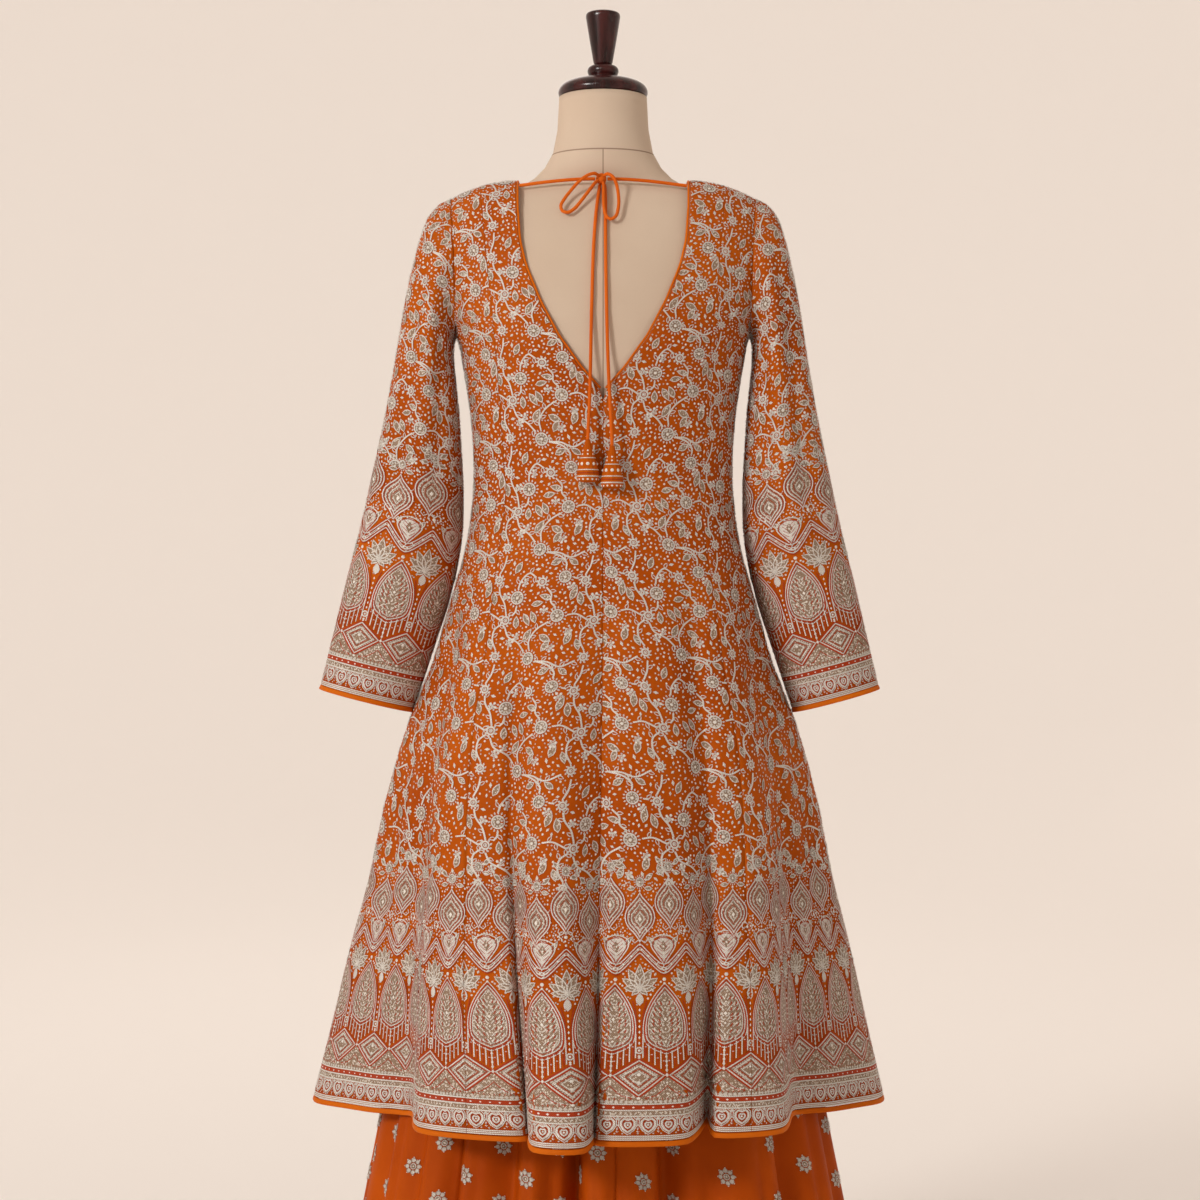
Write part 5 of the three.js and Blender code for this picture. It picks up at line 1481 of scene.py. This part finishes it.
rope(30.2)
rope(33.2, 4.2, RUST, 0.5)
for k in range(6):
    spine.lozenge(BEAD, -HALF + 4 + 8 * k, 33.2, 0, 3.0, 2.4, 1.1)
rope(36.4)
for k in range(12):
    spine.dome(SILVER, -HALF + 2 + 4 * k, 38.6, 1.7, 6, 0.9)

CROSS, LATTICE_LOW, LATTICE_HIGH = 65.0, 43.0, 82.0


def under_lattice(y):
    return HALF * np.clip((CROSS - y) / (CROSS - LATTICE_LOW), 0.02, 1)


band(spine, GOLD, 40.6, 62.5, lambda y: -under_lattice(y), under_lattice, 5, 6)
for x, y in ((0, 57.5), (0, 46.5), (-8, 45), (8, 45), (-14.5, 43.5), (14.5, 43.5)):
    spine.dome(BEAD, x, y, 1.25, 6, 1.1)
for k in range(26):
    x = 21 * math.sin(2.4 * k) * math.sqrt((k + 0.5) / 26)
    spine.dome(SILVER, x, 43 + (16 - 0.72 * abs(x)) * ((k * 0.618) % 1), 0.95, 5, 0.9)
spine.ribbon(RUST, path((-19, 42.2), (-10, 44.6), (-4, 50), (0, 54.4), (4, 50), (10, 44.6), (19, 42.2),
        step=4), 0.9, 0.6)
for k in range(-4, 5):
    spine.lozenge(RUST, 4.4 * k, 41.4, 90 - 14 * k, 2.6, 1.2, 0.7)
bottom_t, bottom_w = np.array(MEDALLION[:5], float).T
for k in range(-8, 9):
    x = 2.6 * k
    low = CROSS + abs(x) / HALF * (LATTICE_HIGH - CROSS) + 3.0
    high = 90 + 64 * np.interp(min(abs(x) / 18, 1), bottom_w, bottom_t) - 2.2
    if high - low > 3:
        spine.ribbon(SILVER if k % 2 == 0 else RUST, straight((x, low), (x, high)),
            1.1 if k % 2 == 0 else 0.9, 0.6)
    if k % 2 and high - low > 7:
        spine.dome(BEAD, x, (low + high) / 2, 0.9, 5, 1.1)
for y in (70, 74.5, 79, 83.5):
    spine.dome(BEAD, 0, y, 1.3, 6, 1.3)
spine.dome(BEAD, 0, CROSS, 2.0, 6, 1.5)

MEDALLION_LOW, MEDALLION_TALL, MEDALLION_HALF = 88.0, 68.0, 19.4
profile_fill(spine, GOLD, MEDALLION, 0, MEDALLION_LOW, MEDALLION_TALL, MEDALLION_HALF, 0.93, 14, 6)
for share, finish, thread in ((1.06, SILVER, 0.9), (1.0, RUST, 1.5), (0.94, SILVER, 1.0), (0.88, RUST, 0.7),
        (0.82, SILVER, 0.7)):
    spine.ribbon(finish, profile_line(MEDALLION, 0, MEDALLION_LOW, MEDALLION_TALL, MEDALLION_HALF,
            share), thread, 0.6, True)
for x, y, size in ((0, 147, 2.4), (0, 140.5, 2.2), (0, 133.5, 2.6), (0, 121.5, 4.4), (0, 111.5, 2.8),
        (0, 99, 3.0), (5.4, 128.5, 2.2), (8.8, 120.5, 2.4), (10.6, 111.5, 2.6), (11, 102.5, 2.4),
        (5.6, 105.5, 2.2), (5.2, 115.8, 2.0)):
    for way in ((1,) if x == 0 else (1, -1)):
        spine.lozenge(BEAD, way * x, y, 90, size, size * 0.8, 1.1)
for y in (95, 101.5, 108, 114.5, 118.5, 124.5, 130, 136):
    wide = 13.5 * np.interp((y - MEDALLION_LOW) / MEDALLION_TALL, *np.array(MEDALLION).T)
    for way in (1, -1):
        for a, b, finish in ((0.1, 0.3, SILVER), (0.34, 0.5, RUST), (0.52, 0.74, SILVER), (0.78, 0.9, RUST),
                (0.9, 1.05, SILVER)):
            spine.ribbon(finish, [(way * wide * a, y), (way * wide * (a + b) / 2, y + 1.2),
                (way * wide * b, y + 3.4)], 1.0, 0.6)
for y, r in ((157.8, 1.3), (162, 2.0)):
    spine.dome(BEAD, 0, y, r, 6, 1.4)

BUD_LOW, BUD_TALL, BUD_HALF = 176.5, 31.0, 13.0
profile_fill(spine, SILVER, BUD, 0, BUD_LOW, BUD_TALL, BUD_HALF, 0.9, 7, 4)
for share, finish, thread in ((1.0, SILVER, 1.2), (0.84, RUST, 0.9), (0.7, SILVER, 0.8)):
    spine.ribbon(finish, profile_line(BUD, 0, BUD_LOW, BUD_TALL, BUD_HALF, share), thread, 0.6, True)
spine.lozenge(GOLD, 0, BUD_LOW + 19, 90, 15, 9, 0.8)
spine.lozenge(BEAD, 0, BUD_LOW + 19, 90, 4.4, 3.2, 1.5)
for y in (8, 12, 16, 20, 24):
    for way in (1, -1):
        spine.ribbon(RUST, [(way * 1.2, BUD_LOW + y - 2), (way * 3.8, BUD_LOW + y),
            (way * 6.6, BUD_LOW + y + 2.6)], 0.5, 0.7)
for x, y in ((0, 12), (-5, 20), (5, 20), (0, 26.4)):
    spine.dome(BEAD, x, BUD_LOW + y, 1.0, 5, 1.1)
spine.ribbon(SILVER, [(0, 168), (-2.2, 170.6), (-1.4, 173.4), (1, 174.6), (0, 176.6)], 1.2, 0.6)
for way in (1, -1):
    spine.ribbon(SILVER, [(0, 171), (way * 4.4, 172.6), (way * 7.4, 176), (way * 6.2, 179.4),
            (way * 3.8, 178)], 1.1, 0.6)
    spine.petal(way * 8, 196, 90 - way * 38, 12, 5, steps=3)
    spine.dome(BEAD, way * 15.4, 186, 1.2, 5, 1.0)
    spine.dome(SILVER, way * 12.2, 180.6, 1.0, 5, 0.9)
    spine.dome(SILVER, way * 17.6, 192, 1.0, 5, 0.9)
print("strip on a medallion's line:", sum(len(t) for t in spine.tris), "triangles")

# %% The strip between two medallions
gap_strip = Motif()
lattice_middle = (LATTICE_LOW + LATTICE_HIGH) / 2


def diamond(share):
    low = lattice_middle + (LATTICE_LOW - lattice_middle) * share
    high = lattice_middle + (LATTICE_HIGH - lattice_middle) * share
    level = lattice_middle + (CROSS - lattice_middle) * share
    return path((0, low), (HALF * share, level), (0, high), (-HALF * share, level), (0, low))[:-1]


def diamond_edge(y):
    away = abs(y - lattice_middle) / ((LATTICE_HIGH - LATTICE_LOW) / 2)
    return HALF * np.clip(1 - away, 0.02, 1)


band(gap_strip, GOLD, LATTICE_LOW + 3, LATTICE_HIGH - 3, lambda y: -diamond_edge(y) * 0.95,
        lambda y: diamond_edge(y) * 0.95, 8, 8)
for share, finish, thread in ((1.0, RUST, 1.8), (0.9, SILVER, 1.2), (0.8, RUST, 1.4), (0.62, SILVER, 1.3),
        (0.48, RUST, 1.0), (0.34, SILVER, 1.1)):
    gap_strip.ribbon(finish, diamond(share), thread, 0.6, True)
for k in range(1, 9):
    for way in (1, -1):
        gap_strip.dome(SILVER, way * HALF * 0.71 * k / 9, LATTICE_LOW + 5.6 + 17 * 0.9 * k / 9, 0.85, 5, 0.9)
        gap_strip.dome(SILVER, way * HALF * 0.71 * k / 9, LATTICE_HIGH - 5.6 - 15 * 0.8 * k / 9, 0.85, 5, 0.9)
for y, r in ((LATTICE_LOW - 0.5, 1.8), (lattice_middle - 4.5, 1.7), (lattice_middle + 3.5, 2.0),
        (LATTICE_HIGH + 0.5, 1.3), (84.4, 1.3)):
    gap_strip.dome(BEAD, 0, y, r, 6, 1.4)
gap_strip.ring(SILVER, 0, 90.2, 3.0, 1.5, 10)
gap_strip.dome(BEAD, 0, 90.2, 1.3, 6, 1.2)
for way in (1, -1):
    gap_strip.ribbon(RUST, path((way * 2.2, 95.5), (way * 1.9, 106), (way * 2.4, 118), (way * 3.6, 128),
            (way * 6.4, 140)), 1.1, 0.55)
    gap_strip.ribbon(RUST, [(way * 4.6, 84.5), (way * 4.8, 89), (way * 3.4, 95)], 1.1, 0.55)
for k in range(7):
    gap_strip.lozenge(BEAD, 0, 97.5 + 5.6 * k, 90, 3.2, 1.9, 1.1)
gap_strip.petal(0, 136, 90, 12, 6.4, SILVER, SILVER, 1.2)
for degrees, long, wide in ((90, 25, 9), (61, 23, 8.4), (119, 23, 8.4), (32, 20, 7.6), (148, 20, 7.6),
        (4, 15, 6.4), (176, 15, 6.4), (-38, 9, 4.6), (218, 9, 4.6)):
    gap_strip.petal(0, 152.5, degrees, long, wide, steps=5)
gap_strip.dome(SILVER, 0, 152.5, 2.9, 8, 1.2)
gap_strip.dome(BEAD, 0, 152.5, 1.3, 6, 1.8)
for x, y in ((6.8, 146.5), (12.6, 150.4), (9.4, 165.6), (15.6, 160.4), (4.6, 173.4)):
    for way in (1, -1):
        gap_strip.dome(SILVER, way * x, y, 1.1, 5, 0.9)

ZIGZAG = [(-24, 166), (-20, 167.6), (-12, 175), (-4, 183.6), (0, 187), (4, 183.6), (12, 175), (20, 167.6),
        (24, 166)]
zigzag = centripetal(ZIGZAG, False, [2] * 8)
for rise, finish, thread in ((0.4, RUST, 1.0), (2.0, SILVER, 1.0), (3.8, RUST, 0.9), (5.6, SILVER, 0.8),
        (7.6, SILVER, 0.8), (9.4, RUST, 0.9), (11.2, SILVER, 1.0), (12.8, RUST, 1.0)):
    gap_strip.ribbon(finish, zigzag + [0, rise], thread, 0.6)
for x, y in zigzag[1::2]:
    gap_strip.lozenge(BEAD, x, y + 6.6, 0, 2.2, 2.2, 1.2)
for y, r in ((200.5, 1.3), (209, 2.0)):
    gap_strip.dome(BEAD, 0, y + 1.5, r, 6, 1.4)
for way in (-1, 1):
    gap_strip.ribbon(SILVER, [(0, 213), (way * 3, 216), (way * 6.4, 214.6), (way * 6.8, 210.4),
        (way * 4.2, 208.6)], 1.2, 0.6)


def fill_ground(strip, beside, reach, low, high, seed):
    """Scatters seeds of thread over the ground that a strip and those beside it leave free."""
    worked = np.concatenate([np.concatenate([a + o for a, o in zip(m.anchor, m.offset)]) + [move, 0]
                             for m, move in ((strip, 0), (beside, reach), (beside, -reach))])
    edge = reach if beside is gap_strip else reach / 2
    scatter = np.random.default_rng(seed)
    for _ in range(2600):
        x, y = scatter.uniform(1 - edge, edge - 1), scatter.uniform(low, high)
        r = scatter.choice([0.9, 1.2, 1.7])
        if np.min(np.hypot(*(worked - [x, y]).T)) < r + 1.4:
            continue
        worked = np.vstack([worked, [x, y]])
        if r > 1.5:
            strip.lozenge(SILVER, x, y, scatter.uniform(0, 180), 4.2, 2.4, 1.0)
        else:
            strip.dome(BEAD if r > 1 else SILVER, x, y, r, 5, 1.1)


fill_ground(spine, gap_strip, HALF, 88, 206, 11)
print("strip between medallions:", sum(len(t) for t in gap_strip.tris), "triangles")
spine, gap_work = spine.pack(), gap_strip.pack()

# %% [markdown]
# Above the zigzag hang drops of two heights, like pointed leaves inside one another. Each has
# a small round flower on its tip, where the flower field begins.

# %% Drops
def drop_strip(low, tall, half, crown):
    drop = Motif()
    profile_fill(drop, GOLD, DROP, 0, low, tall, half, 0.95, 10, 4)
    for share, finish, thread in ((1.07, RUST, 0.8), (1.0, SILVER, 1.3), (0.9, RUST, 0.9), (0.8, SILVER, 1.1),
            (0.68, RUST, 0.8), (0.58, SILVER, 1.0), (0.42, RUST, 0.8), (0.28, SILVER, 1.0)):
        drop.ribbon(finish, profile_line(DROP, 0, low, tall, half, share, 1 if share < 0.6 else 2), thread,
            0.6, True)
    for k in range(10):
        a = 2 * math.pi * k / 10
        w = np.interp(0.46 + 0.34 * math.cos(a), *np.array(DROP).T)
        drop.dome(BEAD, half * 0.77 * math.sin(a) * w, low + tall * (0.46 + 0.34 * math.cos(a)), 1.0, 5, 1.0)
    drop.lozenge(BEAD, 0, low + tall * 0.47, 90, 6, 4.4, 1.3)
    for y, r in ((low + tall + 1.8, 1.5), (low - 2.2, 1.4)):
        drop.dome(BEAD, 0, y, r, 6, 1.2)
    rosette(drop, 0, crown, 7.2)
    for way in (1, -1):
        drop.petal(way * 7, crown + 2, 90 - way * 54, 12, 5, steps=3)
        drop.petal(way * 6, crown - 6, 90 - way * 96, 10, 4.4, steps=3)
        drop.ribbon(SILVER, [(way * 2, low + 2), (way * 6, low - 0.6), (way * 9.4, low + 2.6),
            (way * 8, low + 6)], 1.1, 0.6)
        drop.dome(SILVER, way * 11, low + tall * 0.86, 1.2, 5, 0.9)
        drop.dome(BEAD, way * 14.6, low + tall * 0.94, 1.1, 5, 0.9)
        drop.dome(SILVER, way * 15, low + 6, 1.1, 5, 0.9)
        drop.dome(BEAD, way * 18, low + 12, 1.0, 5, 0.9)
    return drop


DROP_PITCH = 37.0
low_drop = drop_strip(200, 51, 18.0, 262)
high_drop = drop_strip(213, 54, 18.0, 278)
fill_ground(low_drop, high_drop, DROP_PITCH, 206, 262, 12)
fill_ground(high_drop, low_drop, DROP_PITCH, 206, 262, 13)
low_drop, high_drop = low_drop.pack(), high_drop.pack()

# %% [markdown]
# Now the flat work is laid on the cloth. Each panel takes an even number of border strips, so
# that both of its seams fall on a gap, and the field is laid from the princess seam, where
# the grain of the two panels runs together.

# %% Lay the work on panels and sleeves
BORDER_TOP = 258.0
HEM_PITCH = 54.0
embroidery = {}


def even(width, pitch):
    return 2 * max(1, round(width / (2 * pitch)))


def lay_border(layer, repeats, pairs):
    middles = (np.arange(repeats) + 0.5) / repeats
    layer.shared(spine, middles, 1 / repeats, PITCH, (0.3, 300))
    layer.shared(gap_work, np.arange(repeats + 1) / repeats, 1 / repeats, PITCH, (0.3, 300))
    places = (np.arange(2 * pairs) + 0.5) / (2 * pairs)
    layer.shared(low_drop, places[0::2], 0.5 / pairs, DROP_PITCH, (0.3, 330))
    layer.shared(high_drop, places[1::2], 0.5 / pairs, DROP_PITCH, (0.3, 330))


def field_pull(chart, waist_v):
    waist_wide = chart.wide(waist_v)
    return lambda v: np.where(v < waist_v, np.maximum(chart.wide(v) / waist_wide, 1) ** 0.5, 1.0)


def lay_field(layer, pull, reference, top):
    widest = layer.chart.width.max()
    spans = {0: (-widest, 0), 1: (0, widest), 0.5: (-widest / 2, widest / 2)}[reference]
    xs = np.arange(math.floor(spans[0] / JAAL_WIDE) - 1, math.ceil(spans[1] / JAAL_WIDE) + 1) * JAAL_WIDE
    ys = np.arange(1, math.ceil(top / JAAL_TALL) + 1) * JAAL_TALL
    for y in ys:
        layer.stretched(jaal, xs, [y] * len(xs), pull, reference, (BORDER_TOP, top))


for k, name in enumerate(PANELS):
    p, n = kurta_grids[k], kurta_normals[k]
    chart = Chart(p, n, False, 0.25)
    layer = Layer(chart)
    waist_row = np.argmin(np.abs(p[:, :, 2].mean(1) - WAIST))
    lay_border(layer, even(chart.width[0], HEM_PITCH), even(chart.wide(235), DROP_PITCH) // 2)
    lay_field(layer, field_pull(chart, chart.up[waist_row]), 1 if k in (0, 2, 4, 6) else 0,
            chart.up[-1] - 0.8)
    embroidery[name] = layer.make(name + "_zari")
    print(name, "zari", len(embroidery[name].data.polygons), "triangles")
for side in ("left", "right"):
    chart = Chart(sleeve_grids[side], sleeve_normals[side], True, 0.0)
    layer = Layer(chart)
    lay_border(layer, even(chart.width[0], PITCH), even(chart.wide(235), DROP_PITCH) // 2)
    lay_field(layer, lambda v: np.ones_like(v), 0.5, chart.up[-1] - 1.2)
    embroidery["sleeve_" + side] = layer.make(f"sleeve_{side}_zari")
    print("sleeve", side, "zari", len(embroidery["sleeve_" + side].data.polygons), "triangles")

# %% [markdown]
# The skirt has small eight petalled butis of the same silver thread, set in a quincunx. Each
# is laid on the gathered cloth in its real size, so the gathers hide some in part. The lower
# part shows, and the rows stop well above the kurta's hem.

# %% Butis on the skirt
BUTI, BUTI_SPACE, BUTI_ROW, BUTI_TOP = 9.8, 128.0, 30.0, 470.0
buti = Motif()
buti.ring(SILVER, 0, 0, 3.0, 0.8, 10, 0.9)
buti.dome(GOLD, 0, 0, 3.4, 10, 0.6, (0, 0))
buti.dome(BEAD, 0, 0, 1.1, 6, 1.4, (0, 0))
for k in range(8):
    c, s = heading(45 * k)
    buti.dome(SILVER, 6.6 * c, 6.6 * s, 2.5, 7, 0.9, (0, 0))
    buti.ribbon(GOLD, [(6.6 * c + 2.5 * math.cos(b), 6.6 * s + 2.5 * math.sin(b))
        for b in np.arange(7) * math.tau / 7],
                0.6, 1.0, True, (0, 0))
    buti.dome(SILVER, 6.6 * c, 6.6 * s, 1.1, 5, 1.5, (0, 0))
    buti.dome(BEAD, (BUTI - 0.4) * c, (BUTI - 0.4) * s, 0.9, 5, 0.9, (0, 0))
buti = buti.pack()
for name, (p, n, round_body, up) in skirt_grids.items():
    chart = Chart(p, n, False, 1.0)
    layer = Layer(chart)
    count = max(1, round(chart.width[0] / BUTI_SPACE))
    for row, y in enumerate(np.arange(34, BUTI_TOP, BUTI_ROW)):
        shift = 0.25 if row % 2 else 0.75
        xs = -(np.arange(count) + shift) / count * chart.wide(y)
        layer.stretched(buti, xs, [y] * count, lambda v: np.ones_like(v), 0, (1, 990))
    embroidery[name] = layer.make(name + "_butis")
    print(name, "butis", len(embroidery[name].data.polygons), "triangles")

# %% [markdown]
# The cones are cut from the border's edge, so silver lines run round them and beads close
# the mouth.

# %% Thread on the cones
for side in ("left", "right"):
    x, y, z = TIE_ROUTES["tail_" + side][-1]
    turn = np.linspace(0, 2 * math.pi, 29)[:-1]
    points, tris, finishes, flats = [], [], [], []
    count = 0
    for drop_by, finish, wide in ((20, SILVER, 1.0), (33, SILVER, 1.1), (36.5, RUST, 1.0), (40, SILVER, 1.4)):
        for half in (-wide / 2, wide / 2):
            r = np.interp(drop_by + half, [d for _, d in CONE], [r for r, _ in CONE]) + 0.55
            r = r + PLEAT_DEPTH * np.cos(CONE_PLEATS * turn)
            points.append(np.stack([x + r * np.sin(turn), y + r * np.cos(turn),
                z - CONE_GAP - drop_by - half + 0 * turn], -1))
            flats.append(np.stack([turn * 10, 0 * turn + half], -1))
        a = np.arange(28)
        b = (a + 1) % 28
        upper, lower = count, count + 28
        tris.append(np.concatenate([np.stack([upper + a, lower + a, lower + b], -1),
            np.stack([upper + a, lower + b, upper + b], -1)]))
        finishes.append(np.full(56, finish))
        count += 56
    for drop_by, number, size in ((12, 6, 1.1), (16, 7, 1.1), (26.5, 9, 2.0), (43.2, 14, 1.3)):
        for k in range(number):
            a = 2 * math.pi * k / number
            r = np.interp(drop_by, [d for _, d in CONE], [r for r, _ in CONE]) + 0.3
            mid = np.array([x + r * math.sin(a), y + r * math.cos(a), z - CONE_GAP - drop_by])
            out = np.array([math.sin(a), math.cos(a), 0])
            side_way = np.array([math.cos(a), -math.sin(a), 0])
            ring = [mid + size * (math.cos(b) * side_way + math.sin(b) * np.array([0, 0, 1]))
                for b in np.arange(6) * math.pi / 3]
            points.append(np.array([mid + out * size * 0.8] + ring))
            flats.append(np.zeros((7, 2)))
            tris.append(np.array([(0, i + 1, (i + 1) % 6 + 1) for i in range(6)]) + count)
            finishes.append(np.full(6, BEAD))
            count += 7
    points, tris = np.concatenate(points), np.concatenate(tris)
    a, b, c = points[tris[:, 0]], points[tris[:, 1]], points[tris[:, 2]]
    away = (a + b + c) / 3 - np.array([x, y, 0])
    away[:, 2] = 0
    inward = (np.cross(b - a, c - a) * away).sum(1) < 0
    tris[inward] = tris[inward][:, ::-1]
    embroidery["tie_cone_" + side] = mesh_object(f"tie_cone_{side}_zari", points, tris, np.concatenate(flats),
            threads, np.concatenate(finishes))

# %% [markdown]
# Cream cotton over the form has a fine weave, a seam round the neck and one down the middle
# of the back. Both seams are narrow dark lines, drawn from the object's own coordinates.

# %% Form and wood finishes
FORM_NECK_SEAM = 1.4112
form_cloth = cloth_material("cream cotton", shade(211, 188, 166), shade(223, 203, 182), 0.85, 0.0008,
    patch=5.0, weave=0.2, uv=None)


def add_form_seams(material):
    tree = material.node_tree
    shader = tree.nodes["Principled BSDF"]
    before = shader.inputs["Base Color"].links[0].from_socket
    apart = node(tree, "ShaderNodeSeparateXYZ", {0: object_place(tree)}).outputs

    def maths(kind, first, second=0.5):
        return node(tree, "ShaderNodeMath", {0: first, 1: second}, operation=kind).outputs[0]

    def near(socket, at, width):
        away = maths("ABSOLUTE", maths("SUBTRACT", socket, at))
        return node(tree, "ShaderNodeMapRange", {"From Min": width, "From Max": width * 0.3, "Value": away},
            interpolation_type="SMOOTHSTEP").outputs["Result"]

    neck = near(apart["Z"], FORM_NECK_SEAM, 0.0011)
    middle = maths("MULTIPLY", near(apart["X"], 0.0, 0.0009), maths("LESS_THAN", apart["Z"], FORM_NECK_SEAM))
    seams = maths("MULTIPLY", maths("MAXIMUM", neck, middle), 0.75)
    feed(shader, {"Base Color": mixed(tree, seams, before, shade(128, 98, 78))})


add_form_seams(form_cloth)


def wood_material():
    material, tree, shader = new_material("dark varnished wood", {
        "Roughness": 0.24, "Specular IOR Level": 0.42})
    stretch = node(tree, "ShaderNodeMapping", {"Scale": (30, 30, 4), "Vector": object_place(tree)})
    grain = node(tree, "ShaderNodeTexNoise", {
        "Scale": 3, "Detail": 6, "Vector": stretch.outputs["Vector"]}).outputs["Fac"]
    ramp = node(tree, "ShaderNodeValToRGB", {"Fac": grain})
    dark, pale = ramp.color_ramp.elements
    dark.position, dark.color = 0.35, shade(30, 9, 9)
    pale.position, pale.color = 0.75, shade(78, 30, 28)
    feed(shader, {"Base Color": ramp.outputs["Color"]})
    bumped(tree, shader, grain, 0.05, 0.001)
    return material


wood = wood_material()
for piece in (cap_piece, finial_piece, pole_piece, base_piece):
    piece.data.materials.append(wood)
form_piece.data.materials.append(form_cloth)
for face in form_piece.data.polygons:
    face.use_smooth = abs(face.normal.z) < 0.95 or len(face.vertices) < 5

# %% [markdown]
# Every piece takes the place of its solid and rides on the part's one body.

# %% Place the pieces on the frame
def stand_for(piece, finish, *solids):
    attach(piece, "root")
    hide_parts(*solids)


def grid_area(p, wraps=False):
    q = np.concatenate([p, p[:, :1]], 1) if wraps else p
    a, b, c, d = q[:-1, :-1], q[1:, :-1], q[1:, 1:], q[:-1, 1:]
    two = np.linalg.norm(np.cross(b - a, c - a), axis=-1) + np.linalg.norm(np.cross(c - a, d - a), axis=-1)
    return two.sum() / 2 * MM * MM


for k, name in enumerate(PANELS):
    stand_for(kurta_pieces[name], "embroidered_cloth", name)
    round_body, up = kurta_flat[k]
    grid_area(kurta_grids[k])
for side in ("left", "right"):
    stand_for(sleeve_pieces[side], "embroidered_cloth", "sleeve_" + side)
    round_arm, up = wrap_flat(sleeve_grids[side])
    grid_area(sleeve_grids[side], True)
for name, piece in binding_pieces.items():
    stand_for(piece, "plain_cloth", name)
for name, piece in skirt_pieces.items():
    stand_for(piece, "skirt_cloth", name)
    p, n, round_body, up = skirt_grids[name]
    grid_area(p)
stand_for(band_piece, "skirt_cloth", "skirt_waistband")
stand_for(form_piece, "form_cloth", "dress_form")
for piece, name in ((cap_piece, "neck_cap"), (finial_piece, "finial"), (pole_piece, "pole"),
        (base_piece, "base")):
    stand_for(piece, "dark_wood", name)
for name, piece in cone_pieces.items():
    stand_for(piece, "embroidered_cloth", name)
stand_for(knot_piece, "plain_cloth", "tie_knot")
for name, piece in embroidery.items():
    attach(piece, "root")
ends = {
    "tie_left": ("knot", "taut", [knot_piece]), "tie_right": ("knot", "taut", [knot_piece]),
    "bow_loop_left": ("knot", "hanging", [knot_piece]), "bow_loop_right": ("knot", "hanging", [knot_piece]),
    "tail_left": ("fitting", "hanging", [cone_pieces["tie_cone_left"]]),
    "tail_right": ("fitting", "hanging", [cone_pieces["tie_cone_right"]]),
}
for name, (far_end, lay, company) in ends.items():
    piece, length = cords[name]
    stand_for(piece, "plain_cloth", name)
    exit_point = [c * MM for c in TIE_ROUTES[name][0]]
    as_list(company)

# %% [markdown]
# The studio is a wide pale bowl: a floor that curves up into a wall with no corner, so that
# there is no horizon line. Its paper glows a little, more behind the form than in front of it:
# this glow is painted light, and it also lights the form. One large soft lamp stands up and to
# the left behind the camera, a weaker one fills from the right, and the open top lets in even
# light. A narrow spot lifts the form's neck, and a weak lamp behind the form keeps its front
# side from going dark.

# %% Studio
# how strongly the bowl's paper glows in front of the form and behind it: painted light from a surface that is
# no lamp
GLOW_FRONT, GLOW_BEHIND, SPOT_DEGREES = 0.07, 0.385, 6


def bowl():
    profile = [(0.02, 0.0), (1.5, 0.0), (3.2, 0.0), (4.4, 0.02), (5.2, 0.25), (5.8, 0.8), (6.1, 1.6),
            (6.2, 2.6), (6.2, 4.0), (6.2, 5.4)]
    line = centripetal(np.array(profile), False, [4] * (len(profile) - 1))
    floor = start_circle("studio_floor", 96, float(line[0, 0]), 0)
    for (r0, z0), (r1, z1) in zip(line[:-1], line[1:]):
        extrude_ring(float(z1 - z0), float(r1 / r0), float(r1 / r0))
    bpy.ops.object.mode_set(mode="OBJECT")
    for face in floor.data.polygons:
        face.use_smooth = True
    # the paper emits light, weak in front and stronger behind the form: a painted glow that also lights the
    # scene
    material, tree, shader = new_material("pale glowing studio paper", {
        "Base Color": shade(214, 210, 205), "Roughness": 0.95, "Specular IOR Level": 0.1,
        "Emission Color": shade(231, 218, 209)})
    apart = node(tree, "ShaderNodeSeparateXYZ", {0: object_place(tree)})
    glow = node(tree, "ShaderNodeMapRange", {
        "From Min": 3.0, "From Max": -2.5, "To Min": GLOW_FRONT, "To Max": GLOW_BEHIND,
        "Value": apart.outputs["Y"]}, interpolation_type="SMOOTHSTEP")
    feed(shader, {"Emission Strength": glow.outputs["Result"]})
    floor.data.materials.append(material)
    floor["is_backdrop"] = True
    return floor


floor = bowl()
world = bpy.data.worlds.new("studio light")
bpy.context.scene.world = world
world.use_nodes = True
world.node_tree.nodes["Background"].inputs["Color"].default_value = shade(255, 252, 248)
world.node_tree.nodes["Background"].inputs["Strength"].default_value = 0.06


def lamp(name, place, aim, size, power, colour, kind="AREA"):
    data = bpy.data.lights.new(name, kind)
    if kind == "AREA":
        data.shape = "DISK"
        data.size = size
    else:
        data.shadow_soft_size = size / 2
        data.spot_size = math.radians(SPOT_DEGREES)
        data.spot_blend = 1.0
    data.energy = power
    data.color = colour
    made = add_object(name, data)
    made.location = place
    made.rotation_euler = (Vector(aim) - Vector(place)).to_track_quat("-Z", "Y").to_euler()


lamp("key", (3.0, 3.4, 2.5), (0, 0, 0.85), 1.0, 110, (1.0, 0.98, 0.95))
lamp("fill", (-3.0, 2.4, 1.8), (0, 0, 0.8), 2.4, 3, (1.0, 0.98, 0.96))
lamp("neck", (1.1, 2.7, 2.3), (0, 0.03, 1.54), 0.5, 120, (1.0, 0.98, 0.95), "SPOT")
lamp("back", (0.6, -3.6, 3.0), (0, 0, 1.0), 2.4, 12, (1.0, 0.98, 0.95))

# %% Sizes and the end
low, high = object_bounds()
{"cad": [list(cad_low), list(cad_high)], "visual": [list(low), list(high)]}
print("visual box", [round(v, 4) for v in low], [round(v, 4) for v in high])
